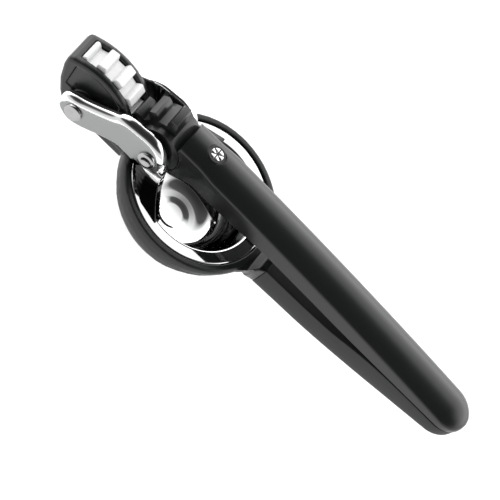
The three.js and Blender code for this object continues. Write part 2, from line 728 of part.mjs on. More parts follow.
function crownHeight(x) {
  const frontX = frontPivot.x + 3;
  const t = (x - frontX) / (tipEnd - frontX);
  return edgePath().getPoint(t).z + handle.crown;
}

function badgeSeat(grow) {
  const top = crownHeight(badgeX);
  const floorZ = top - badge.recess - badge.thickness - grow;
  return uprightCylinder(badgeX, 0, badge.r + grow, floorZ, top + 10, 32);
}

function badgeDisc() {
  const top = crownHeight(badgeX) - badge.recess;
  return uprightCylinder(badgeX, 0, badge.r, top - badge.thickness, top, 32);
}

// ---------------------------------------------------------------- assembly
const looks = {
  frame_plastic: { color: 0x2b2e2c, roughness: 0.45, metalness: 0.0 },
  grip_plastic: { color: 0x343735, roughness: 0.75, metalness: 0.0 },
  gear_plastic: { color: 0xf2f2ef, roughness: 0.4, metalness: 0.0 },
  washer_plastic: { color: 0x1c1d1c, roughness: 0.5, metalness: 0.0 },
  polished_steel: { color: 0xd8d9da, roughness: 0.06, metalness: 1.0 },
  pin_steel: { color: 0xb9bbbd, roughness: 0.2, metalness: 1.0 },
  bush_bronze: { color: 0xa88a4f, roughness: 0.35, metalness: 1.0 },
};

const press = new THREE.Group();

function place(name, body, look) {
  const mesh = new THREE.Mesh(geometryOf(body), new THREE.MeshStandardMaterial(looks[look]));
  mesh.name = name;
  press.add(mesh);
}

place('lower_frame', lowerFrame(), 'frame_plastic');
place('lower_grip', lowerGrip(), 'grip_plastic');
place('strainer_bowl', strainerBowl(), 'polished_steel');
place('gear_segment', gearSegment(), 'gear_plastic');
place('rear_bush', pivotBush(rearPivot, housing.halfWidth), 'bush_bronze');

place('left_arm', armBody(1), 'polished_steel');
place('right_arm', armBody(-1), 'polished_steel');
place('plunger_cup', plungerCup(), 'polished_steel');
place('rear_pivot_pin', pivotPin(rearPivot), 'pin_steel');
place('rear_pin_cap', pinCap(rearPivot), 'pin_steel');
place('front_pivot_pin', pivotPin(frontPivot), 'pin_steel');
place('front_pin_cap', pinCap(frontPivot), 'pin_steel');
for (const [word, side] of [['left', 1], ['right', -1]]) {
  place(`rear_washer_${word}`, sideWasher(rearPivot, side, housing.halfWidth), 'washer_plastic');
  place(`front_washer_${word}`, sideWasher(frontPivot, side, handle.headHalfWidth), 'washer_plastic');
}

place('handle_core', handleCore(), 'frame_plastic');
place('front_bush', pivotBush(frontPivot, handle.headHalfWidth), 'bush_bronze');
place('upper_shell', upperShell(), 'frame_plastic');
place('upper_liner', upperLiner(), 'grip_plastic');
place('badge_disc', badgeDisc(), 'pin_steel');

press.position.z = bowl.depth;

export default press;
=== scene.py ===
"""Shapes and finishes of a geared two-handle hand press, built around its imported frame."""
import json
import logging
import math
from dataclasses import dataclass, field
from enum import Enum
from typing import Callable, Sequence

import bmesh
import bpy
from mathutils import Matrix, Vector


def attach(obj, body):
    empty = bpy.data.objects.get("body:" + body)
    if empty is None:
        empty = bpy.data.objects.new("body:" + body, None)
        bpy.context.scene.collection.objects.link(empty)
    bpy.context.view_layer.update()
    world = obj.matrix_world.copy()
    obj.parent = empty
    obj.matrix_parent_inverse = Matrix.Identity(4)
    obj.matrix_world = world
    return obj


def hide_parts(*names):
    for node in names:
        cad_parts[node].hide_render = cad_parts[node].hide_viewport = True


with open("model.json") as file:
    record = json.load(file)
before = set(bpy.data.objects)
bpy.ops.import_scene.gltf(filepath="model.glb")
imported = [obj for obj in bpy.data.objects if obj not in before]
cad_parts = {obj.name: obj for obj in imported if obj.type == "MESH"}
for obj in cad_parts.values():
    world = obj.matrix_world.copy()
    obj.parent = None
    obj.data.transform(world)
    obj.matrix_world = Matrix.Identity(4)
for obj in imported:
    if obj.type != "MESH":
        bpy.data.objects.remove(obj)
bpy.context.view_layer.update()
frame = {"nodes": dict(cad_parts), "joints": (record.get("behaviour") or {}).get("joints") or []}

log = logging.getLogger("press")

MM = 0.001
RING_TOP = 34.0  # height of the ring's top edge in the frame, in millimetres
ROUND = 128  # facets round a turned piece
SLACK = 0.1  # how near, in millimetres, a corner still counts as lying on a face
CLEAR = 20.0  # how far, in millimetres, a cutter reaches past what it cuts
TIP_LENGTH = 11.0  # length of the rounding at a handle's tip
TIP_POWER = 2.2  # fullness of that rounding
TIP_TAPER = 0.4  # what a handle's half width loses over it
THIN_END = 0.02  # half width of the last section, and how far it stays off the very tip

Point = tuple[float, float]
Span = tuple[float, float]
Colour = tuple[float, float, float]
Group = tuple[bpy.types.NodeTree, bpy.types.Node, bpy.types.Node]


class Body(Enum):
    """The rigid groups that the pieces ride on."""

    FRAME = "frame"
    ARMS = "press_arms"
    HANDLE = "upper_handle"


class Slot(Enum):
    """The record's material slots, one of which is handed to register with each new piece."""

    FRAME = "frame_plastic"
    GRIP = "grip_plastic"
    GEAR = "gear_plastic"
    STEEL = "polished_steel"
    PIN = "pin_steel"


# ------------------------------------------------------------------ mesh helpers
def at(x: float, y: float, z: float) -> Vector:
    """Turns millimetres, with heights counted from the ring's top edge, into metres in the frame."""
    return Vector((x, y, z + RING_TOP)) * MM


def pivot_of(joint: str) -> Point:
    """Reads a hinge's place from the frame.

    Args:
        joint: The hinge's name.

    Returns:
        Its X and Z in millimetres, with Z counted from the ring's top edge.
    """
    found = next(j for j in frame["joints"] if j["name"] == joint)
    x, _, z = found["pos_m"]
    return x / MM, z / MM - RING_TOP


def mesh_object(name: str, verts: Sequence[Vector], faces: Sequence[Sequence[int]]) -> bpy.types.Object:
    """Makes an object whose faces all point outwards.

    Args:
        name: The object's name.
        verts: Its corners, in metres.
        faces: Corner numbers of each face.

    Returns:
        The new object, linked to the scene.
    """
    mesh = bpy.data.meshes.new(name)
    mesh.from_pydata([tuple(v) for v in verts], [], [tuple(f) for f in faces])
    shape = bmesh.new()
    shape.from_mesh(mesh)
    bmesh.ops.remove_doubles(shape, verts=shape.verts, dist=1e-7)
    bmesh.ops.recalc_face_normals(shape, faces=shape.faces)
    shape.to_mesh(mesh)
    shape.free()
    made = bpy.data.objects.new(name, mesh)
    bpy.context.scene.collection.objects.link(made)
    return made


def copy_of(node: str, name: str) -> bpy.types.Object:
    """Copies a node's solid into a new object, with its flat faces made whole again.

    Args:
        node: The node to copy.
        name: The new object's name.

    Returns:
        The copy.
    """
    mesh = frame["nodes"][node].data.copy()
    mesh.materials.clear()
    shape = bmesh.new()
    shape.from_mesh(mesh)
    bmesh.ops.remove_doubles(shape, verts=shape.verts, dist=1e-6)
    bmesh.ops.dissolve_limit(shape, angle_limit=math.radians(1.0), verts=shape.verts, edges=shape.edges)
    shape.to_mesh(mesh)
    shape.free()
    mesh.name = name
    made = bpy.data.objects.new(name, mesh)
    bpy.context.scene.collection.objects.link(made)
    return made


def settle(piece: bpy.types.Object) -> None:
    """Writes a piece's modifiers into its mesh."""
    graph = bpy.context.evaluated_depsgraph_get()
    graph.update()
    final = bpy.data.meshes.new_from_object(piece.evaluated_get(graph))
    old = piece.data
    piece.modifiers.clear()
    piece.data = final
    bpy.data.meshes.remove(old)


def shade(piece: bpy.types.Object, sharp: float = 35.0) -> None:
    """Shades a piece smoothly, except over edges sharper than an angle in degrees."""
    piece.data.shade_smooth()
    piece.data.set_sharp_from_angle(angle=math.radians(sharp))


def soften(piece: bpy.types.Object, width: float, segments: int = 3, limit: float = 32.0) -> None:
    """Rounds a piece's sharp edges.

    Args:
        piece: The piece to change.
        width: Width of the rounding in millimetres.
        segments: Facets across the rounding.
        limit: Edges sharper than this many degrees are rounded.
    """
    bevel = piece.modifiers.new("round", "BEVEL")
    bevel.width = width * MM
    bevel.segments = segments
    bevel.limit_method = "ANGLE"
    bevel.angle_limit = math.radians(limit)
    bevel.harden_normals = False
    bevel.use_clamp_overlap = True
    settle(piece)


def melt(piece: bpy.types.Object, voxel: float, passes: int) -> None:
    """Fuses overlapping shells into one skin and smooths it, as a mould's rounded corners do.

    Args:
        piece: The piece to change.
        voxel: Grid size in millimetres.
        passes: Number of smoothing passes.
    """
    remesh = piece.modifiers.new("fuse", "REMESH")
    remesh.mode = "VOXEL"
    remesh.voxel_size = voxel * MM
    smooth = piece.modifiers.new("smooth", "SMOOTH")
    smooth.factor = 0.5
    smooth.iterations = passes
    settle(piece)


def relax(piece: bpy.types.Object, passes: int, share: Callable[[float, float, float], float]) -> None:
    """Smooths one stretch of a piece.

    Args:
        piece: The piece, changed in place.
        passes: Rounds of smoothing.
        share: How strongly a point takes part, from 0 to 1, by its millimetres from the ring's top centre.
    """
    group = piece.vertex_groups.new(name="relaxed")
    for v in piece.data.vertices:
        weight = share(v.co.x / MM, v.co.y / MM, v.co.z / MM - RING_TOP)
        if weight > 0.0:
            group.add([v.index], weight, "REPLACE")
    modifier = piece.modifiers.new("relax", "SMOOTH")
    modifier.factor = 0.5
    modifier.iterations = passes
    modifier.vertex_group = group.name
    settle(piece)
    piece.vertex_groups.clear()


def join(first: bpy.types.Object, *others: bpy.types.Object) -> bpy.types.Object:
    """Joins objects into the first one."""
    shape = bmesh.new()
    for other in (first, *others):
        shape.from_mesh(other.data)
    shape.to_mesh(first.data)
    shape.free()
    for other in others:
        bpy.data.objects.remove(other, do_unlink=True)
    return first


def carve(piece: bpy.types.Object, *cutters: bpy.types.Object) -> None:
    """Cuts solids out of a piece and removes the cutters."""
    for cutter in cutters:
        cut = piece.modifiers.new("cut", "BOOLEAN")
        cut.operation = "DIFFERENCE"
        cut.solver = "EXACT"
        cut.object = cutter
    settle(piece)
    for cutter in cutters:
        bpy.data.objects.remove(cutter, do_unlink=True)


def loft(name: str, sections: Sequence[Sequence[Vector]]) -> bpy.types.Object:
    """Skins closed sections of equal length and caps both ends.

    Args:
        name: The object's name.
        sections: Loops of points, in order along the piece.

    Returns:
        The closed object.
    """
    count = len(sections[0])
    verts = [p for section in sections for p in section]
    faces = []
    for i in range(len(sections) - 1):
        for k in range(count):
            here, there = i * count + k, i * count + (k + 1) % count
            faces.append((here, there, there + count, here + count))
    last = (len(sections) - 1) * count
    faces.append(tuple(range(count)))
    faces.append(tuple(last + k for k in range(count)))
    return mesh_object(name, verts, faces)


def turned(name: str, profile: Sequence[Point], place: Callable[[float, float, float], Vector],
           steps: int = ROUND) -> bpy.types.Object:
    """Turns a closed profile about an axis.

    Args:
        name: The object's name.
        profile: Radius and height of each corner, in millimetres.
        place: Maps radius times cosine, radius times sine and height to a point.
        steps: Facets round the axis.

    Returns:
        The closed object.
    """
    verts, faces = [], []
    count = len(profile)
    for i in range(steps):
        a = 2 * math.pi * i / steps
        verts += [place(r * math.cos(a), r * math.sin(a), h) for r, h in profile]
    for i in range(steps):
        j = (i + 1) % steps
        for k in range(count):
            m = (k + 1) % count
            corners = [i * count + k, j * count + k, j * count + m, i * count + m]
            faces.append(corners)
    return mesh_object(name, verts, faces)


def upright(name: str, profile: Sequence[Point], steps: int = ROUND) -> bpy.types.Object:
    """Turns a profile about the bowl's axis."""
    return turned(name, profile, at, steps)


def across(name: str, centre: Point, profile: Sequence[Point], steps: int = 64) -> bpy.types.Object:
    """Turns a profile about an axis that lies across the press.

    Args:
        name: The object's name.
        centre: X and Z of the axis.
        profile: Radius and Y of each corner, in millimetres.
        steps: Facets round the axis.

    Returns:
        The closed object.
    """
    return turned(name, profile, lambda u, v, y: at(centre[0] + u, y, centre[1] + v), steps)


def rod(radius: float, low: float, high: float) -> list[Point]:
    """Draws the profile of a plain cylinder between two heights."""
    return [(0.0, low), (radius, low), (radius, high), (0.0, high)]


def mirrored(points: Sequence[Point]) -> list[Point]:
    """Runs back along points on the other side of the middle plane."""
    return [(-y, z) for y, z in reversed(points)]


def smooth_line(points: Sequence[Point], t: float) -> float:
    """Reads a height from a table of X and Z, with smooth bends at the rows.

    Args:
        points: X and Z of each row, in rising X.
        t: The X to read at.

    Returns:
        The height there.
    """
    xs = [p[0] for p in points]
    zs = [p[1] for p in points]
    if t <= xs[0]:
        return zs[0]
    if t >= xs[-1]:
        return zs[-1]
    i = max(k for k in range(len(xs) - 1) if xs[k] <= t)
    span = xs[i + 1] - xs[i]
    u = (t - xs[i]) / span

    def slope(k: int) -> float:
        """Reads the slope at a row from the rows beside it."""
        low, high = max(k - 1, 0), min(k + 1, len(xs) - 1)
        return (zs[high] - zs[low]) / (xs[high] - xs[low])

    a, b = slope(i) * span, slope(i + 1) * span
    return ((2 * u ** 3 - 3 * u ** 2 + 1) * zs[i] + (u ** 3 - 2 * u ** 2 + u) * a
            + (-2 * u ** 3 + 3 * u ** 2) * zs[i + 1] + (u ** 3 - u ** 2) * b)


def closed_curve(points: Sequence[Point], per_side: int) -> list[Vector]:
    """Runs a smooth closed curve through points.

    Args:
        points: The points to pass through.
        per_side: Steps between two points.

    Returns:
        Points along the curve, in the plane.
    """
    count = len(points)
    result = []
    for i in range(count):
        before, start, end, after = (Vector(points[(i + k) % count]) for k in (-1, 0, 1, 2))
        for k in range(per_side):
            t = k / per_side
            result.append(0.5 * (2 * start + (end - before) * t
                                 + (2 * before - 5 * start + 4 * end - after) * t ** 2
                                 + (3 * start - before - 3 * end + after) * t ** 3))
    return result


def clamp(t: float) -> float:
    """Keeps a share between 0 and 1."""
    return min(max(t, 0.0), 1.0)


def ease(t: float) -> float:
    """Eases a share from 0 to 1 in and out."""
    t = clamp(t)
    return t * t * (3 - 2 * t)


def bend(values: Sequence[float], t: float) -> float:
    """Runs from the first to the last of three values, pulled towards the middle one."""
    return (1 - t) ** 2 * values[0] + 2 * t * (1 - t) * values[1] + t ** 2 * values[2]


def tip_share(x: float, tip: float) -> float:
    """Says how far X lies along the rounding that ends at a handle's tip, from 0 to 1."""
    return clamp((x - (tip - TIP_LENGTH)) / TIP_LENGTH)


def tip_width(share: float) -> float:
    """Says what share of a handle's width is left along the rounding of its tip."""
    return max(1 - share ** TIP_POWER, 0.0) ** 0.5


def tip_stations(tip: float, steps: int, first: int) -> list[float]:
    """Lists X of the sections in a handle's rounded tip, closer together towards its end.

    Args:
        tip: X of the tip.
        steps: Steps over the whole rounding.
        first: The first step that is listed.

    Returns:
        X of each section, in rising order.
    """
    arc = [tip - TIP_LENGTH * math.cos(math.pi / 2 * i / steps) for i in range(first, steps)]
    return [*arc, tip - THIN_END]


# ------------------------------------------------------------------ shader node groups
def new_group(name: str, inputs: Sequence[tuple[str, str, float | Colour]],
              outputs: Sequence[tuple[str, str]]) -> Group:
    """Starts a shader node group.

    Args:
        name: The group's name.
        inputs: Name, socket type and first value of each input.
        outputs: Name and socket type of each output.

    Returns:
        The group, its input node and its output node.
    """
    group = bpy.data.node_groups.new(name, "ShaderNodeTree")
    for label, kind, value in inputs:
        socket = group.interface.new_socket(label, in_out="INPUT", socket_type=kind)
        socket.default_value = (*value, 1.0) if kind == "NodeSocketColor" else value
    for label, kind in outputs:
        group.interface.new_socket(label, in_out="OUTPUT", socket_type=kind)
    return group, group.nodes.new("NodeGroupInput"), group.nodes.new("NodeGroupOutput")


def math_node(tree: bpy.types.NodeTree, operation: str, a: float | bpy.types.NodeSocket,
              b: float | bpy.types.NodeSocket, clamped: bool = False) -> bpy.types.NodeSocket:
    """Adds a Math node.

    Args:
        tree: The node tree.
        operation: The Math node's operation.
        a: A socket or a number.
        b: A socket or a number.
        clamped: Whether the result stays between 0 and 1.

    Returns:
        The result's socket.
    """
    node = tree.nodes.new("ShaderNodeMath")
    node.operation = operation
    node.use_clamp = clamped
    for socket, value in zip(node.inputs, (a, b)):
        if isinstance(value, bpy.types.NodeSocket):
            tree.links.new(value, socket)
        else:
            socket.default_value = value
    return node.outputs[0]


def noise(tree: bpy.types.NodeTree, scale: float | bpy.types.NodeSocket, detail: float,
          stretch: Colour = (1.0, 1.0, 1.0)) -> bpy.types.NodeSocket:
    """Adds noise that is fixed to the piece.

    Args:
        tree: The node tree.
        scale: Cells in a metre, as a number or a socket.
        detail: Octaves of the noise.
        stretch: Scale along X, Y and Z.

    Returns:
        The noise value's socket.
    """
    place = tree.nodes.new("ShaderNodeTexCoord")
    mapping = tree.nodes.new("ShaderNodeMapping")
    mapping.inputs["Scale"].default_value = stretch
    texture = tree.nodes.new("ShaderNodeTexNoise")
    texture.inputs["Detail"].default_value = detail
    tree.links.new(place.outputs["Object"], mapping.inputs["Vector"])
    tree.links.new(mapping.outputs["Vector"], texture.inputs["Vector"])
    if isinstance(scale, bpy.types.NodeSocket):
        tree.links.new(scale, texture.inputs["Scale"])
    else:
        texture.inputs["Scale"].default_value = scale
    return texture.outputs["Fac"]


def mould_grain_group() -> bpy.types.NodeTree:
    """Makes the fine spark-eroded grain of a moulded skin, as a height."""
    group, given, out = new_group(
        "Mould grain",
        [("Scale", "NodeSocketFloat", 2600.0), ("Depth", "NodeSocketFloat", 1.0)],
        [("Height", "NodeSocketFloat")])
    fine = noise(group, given.outputs["Scale"], detail=4.0)
    broad = noise(group, math_node(group, "MULTIPLY", given.outputs["Scale"], 0.03), detail=2.0)
    height = math_node(group, "ADD", fine, math_node(group, "MULTIPLY", broad, 0.6))
    group.links.new(math_node(group, "MULTIPLY", height, given.outputs["Depth"]), out.inputs["Height"])
    return group


def colour_drift_group() -> bpy.types.NodeTree:
    """Makes a base colour that drifts a little over a piece, and gets paler where edges are worn."""
    group, given, out = new_group(
        "Colour drift",
        [("Colour", "NodeSocketColor", (0.5, 0.5, 0.5)), ("Drift", "NodeSocketFloat", 0.1),
         ("Wear", "NodeSocketFloat", 0.0), ("Worn colour", "NodeSocketColor", (0.5, 0.5, 0.5))],
        [("Colour", "NodeSocketColor")])
    cloud = noise(group, scale=45.0, detail=4.0)
    centred = math_node(group, "SUBTRACT", cloud, 0.5)
    share = math_node(group, "ADD", math_node(group, "MULTIPLY", centred, given.outputs["Drift"]), 1.0)
    drifted = group.nodes.new("ShaderNodeVectorMath")
    drifted.operation = "SCALE"
    group.links.new(given.outputs["Colour"], drifted.inputs[0])
    group.links.new(share, drifted.inputs["Scale"])
    worn = group.nodes.new("ShaderNodeMix")
    worn.data_type = "RGBA"
    group.links.new(given.outputs["Wear"], worn.inputs["Factor"])
    group.links.new(drifted.outputs["Vector"], worn.inputs["A"])
    group.links.new(given.outputs["Worn colour"], worn.inputs["B"])
    group.links.new(worn.outputs["Result"], out.inputs["Colour"])
    return group


def edge_wear_group() -> bpy.types.NodeTree:
    """Makes a mask of the convex edges that hands and drawers rub, broken up by noise."""
    group, given, out = new_group(
        "Edge wear",
        [("Amount", "NodeSocketFloat", 0.3), ("Start", "NodeSocketFloat", 0.56)],
        [("Mask", "NodeSocketFloat")])
    shape = group.nodes.new("ShaderNodeNewGeometry")
    over = math_node(group, "SUBTRACT", shape.outputs["Pointiness"], given.outputs["Start"])
    steep = math_node(group, "MULTIPLY", over, 9.0, clamped=True)
    broken = math_node(group, "MULTIPLY", steep, noise(group, scale=420.0, detail=5.0))
    group.links.new(math_node(group, "MULTIPLY", broken, given.outputs["Amount"], clamped=True),
                    out.inputs["Mask"])
    return group


def handling_group() -> bpy.types.NodeTree:
    """Makes a roughness that varies with finger marks and wiping."""
    group, given, out = new_group(
        "Handling",
        [("Roughness", "NodeSocketFloat", 0.4), ("Spread", "NodeSocketFloat", 0.1)],
        [("Roughness", "NodeSocketFloat")])
    smudges = noise(group, scale=70.0, detail=5.0, stretch=(1.0, 1.6, 1.0))
    wipes = noise(group, scale=300.0, detail=3.0, stretch=(0.12, 1.0, 1.0))
    both = math_node(group, "ADD", math_node(group, "MULTIPLY", smudges, 0.7),
                     math_node(group, "MULTIPLY", wipes, 0.3))
    offset = math_node(group, "MULTIPLY", math_node(group, "SUBTRACT", both, 0.5), given.outputs["Spread"])
    group.links.new(math_node(group, "ADD", given.outputs["Roughness"], offset, clamped=True),
                    out.inputs["Roughness"])
    return group


def scratches_group() -> bpy.types.NodeTree:
    """Makes fine directional polishing lines, as a height."""
    group, given, out = new_group(
        "Polishing lines",
        [("Scale", "NodeSocketFloat", 900.0), ("Depth", "NodeSocketFloat", 1.0)],
        [("Height", "NodeSocketFloat")])
    along = noise(group, given.outputs["Scale"], detail=2.0, stretch=(0.06, 1.0, 1.0))
    over = noise(group, given.outputs["Scale"], detail=2.0, stretch=(1.0, 0.06, 1.0))
    both = math_node(group, "ADD", along, math_node(group, "MULTIPLY", over, 0.5))
    group.links.new(math_node(group, "MULTIPLY", both, given.outputs["Depth"]), out.inputs["Height"])
    return group


@dataclass(frozen=True)
class Effects:
    """The shader node groups that the materials share."""

    grain: bpy.types.NodeTree = field(default_factory=mould_grain_group)
    drift: bpy.types.NodeTree = field(default_factory=colour_drift_group)
    wear: bpy.types.NodeTree = field(default_factory=edge_wear_group)
    handling: bpy.types.NodeTree = field(default_factory=handling_group)
    scratches: bpy.types.NodeTree = field(default_factory=scratches_group)


def place_group(tree: bpy.types.NodeTree, group: bpy.types.NodeTree, **values: object) -> bpy.types.Node:
    """Places a group in a material.

    Args:
        tree: The material's node tree.
        group: The group to place.
        values: Numbers, colours or sockets for its inputs, with _ for a space.

    Returns:
        The group node.
    """
    node = tree.nodes.new("ShaderNodeGroup")
    node.node_tree = group
    for label, value in values.items():
        socket = node.inputs[label.replace("_", " ")]
        if isinstance(value, bpy.types.NodeSocket):
            tree.links.new(value, socket)
        else:
            socket.default_value = (*value, 1.0) if isinstance(value, tuple) else value
    return node


class Pattern(Enum):
    """What the surface's fine relief is."""

    GRAIN = "grain"
    LINES = "lines"


@dataclass(frozen=True)
class Finish:
    """A surface finish.

    The colour is linear. Spread and drift are how far the roughness and the colour vary over a piece, and
    wear is how much of the worn colour shows on rubbed edges. Relief depth is in millimetres and its scale
    is in cells in a metre.
    """

    name: str
    colour: Colour
    roughness: float
    metallic: float = 0.0
    spread: float = 0.1
    drift: float = 0.15
    wear: float = 0.0
    worn_colour: Colour = (0.2, 0.2, 0.2)
    pattern: Pattern = Pattern.GRAIN
    relief_scale: float = 2600.0
    relief_depth: float = 0.004

    def material(self, effects: Effects) -> bpy.types.Material:
        """Builds the finish's material.

        Args:
            effects: The shared node groups.

        Returns:
            The material.
        """
        made = bpy.data.materials.new(self.name)
        made.use_nodes = True
        tree = made.node_tree
        shader = tree.nodes["Principled BSDF"]
        shader.inputs["Metallic"].default_value = self.metallic
        wear = place_group(tree, effects.wear, Amount=self.wear)
        colour = place_group(tree, effects.drift, Colour=self.colour, Drift=self.drift,
                             Wear=wear.outputs["Mask"], Worn_colour=self.worn_colour)
        tree.links.new(colour.outputs["Colour"], shader.inputs["Base Color"])
        handling = place_group(tree, effects.handling, Roughness=self.roughness, Spread=self.spread)
        tree.links.new(handling.outputs["Roughness"], shader.inputs["Roughness"])
        relief = effects.grain if self.pattern is Pattern.GRAIN else effects.scratches
        height = place_group(tree, relief, Scale=self.relief_scale, Depth=1.0)
        bump = tree.nodes.new("ShaderNodeBump")
        bump.inputs["Distance"].default_value = self.relief_depth * MM
        tree.links.new(height.outputs["Height"], bump.inputs["Height"])
        tree.links.new(bump.outputs["Normal"], shader.inputs["Normal"])
        return made


FINISHES = {
    "satin_black": Finish("Satin black plastic", (0.0058, 0.0068, 0.0063), 0.29, spread=0.08,
                          wear=0.22, worn_colour=(0.06, 0.062, 0.06), relief_depth=0.006),
    "matte_black": Finish("Textured black plastic", (0.0095, 0.0107, 0.0101), 0.58, spread=0.08,
                          wear=0.2, worn_colour=(0.05, 0.052, 0.05), relief_scale=1500.0,
                          relief_depth=0.03),
    "white_gear": Finish("White acetal", (0.56, 0.565, 0.56), 0.42, spread=0.12, drift=0.04),
    "black_washer": Finish("Black washer nylon", (0.012, 0.012, 0.012), 0.5),
    "mirror_steel": Finish("Mirror polished steel", (0.84, 0.845, 0.85), 0.045, metallic=1.0, spread=0.035,
                           drift=0.03, pattern=Pattern.LINES, relief_scale=2400.0,
                           relief_depth=0.00015),
    # Partly painted shade: the satin roughness is the outer face's own finish, but its colour is darkened to
    # stand in for the dim reflection that face shows.
    "satin_steel_painted_shade": Finish("Satin steel with painted shade", (0.32, 0.325, 0.325), 0.33, metallic=1.0, spread=0.08,
                          drift=0.06, pattern=Pattern.LINES, relief_scale=1800.0,
                          relief_depth=0.0016),
    # Painted shade: a near-black copy of the polished steel, standing in for the shade and dark reflection on
    # the arm's foot and low end.
    "painted_shade_steel": Finish("Polished steel in shade", (0.045, 0.045, 0.046), 0.06, metallic=1.0, spread=0.03,
                         drift=0.03, pattern=Pattern.LINES, relief_scale=2400.0,
                         relief_depth=0.00015),
    "pin_steel": Finish("Turned steel", (0.42, 0.42, 0.42), 0.16, metallic=1.0, spread=0.08,
                        drift=0.06, pattern=Pattern.LINES, relief_scale=2000.0,
                        relief_depth=0.0012),
    "bronze": Finish("Sintered bronze", (0.5, 0.36, 0.16), 0.42, metallic=1.0, drift=0.2),
}


class Paintbox:
    """Holds one material for each finish."""

    def __init__(self) -> None:
        """Builds the shared node groups and every material."""
        effects = Effects()
        self.made = {key: finish.material(effects) for key, finish in FINISHES.items()}

    def paint(self, piece: bpy.types.Object, *keys: str) -> None:
        """Gives a piece its finishes, in the order of its material numbers."""
        piece.data.materials.clear()
        for key in keys:
            piece.data.materials.append(self.made[key])

    def paint_node(self, node: str, key: str) -> None:
        """Gives a node's slots a finish."""
        for holder in frame["nodes"][node].material_slots:
            holder.material = self.made[key]


def register(piece: bpy.types.Object, body: Body, slot: Slot, *nodes: str) -> None:
    """Makes a piece ride on its body and stand for its nodes.

    Args:
        piece: The finished piece.
        body: The body that it moves with.
        slot: The record's material slot meant for the piece; not used.
        nodes: The nodes that it stands for.
    """
    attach(piece, body.value)
    if nodes:
        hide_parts(*nodes)
    log.info("%s: %d faces, rides on %s", piece.name, len(piece.data.polygons), body.value)


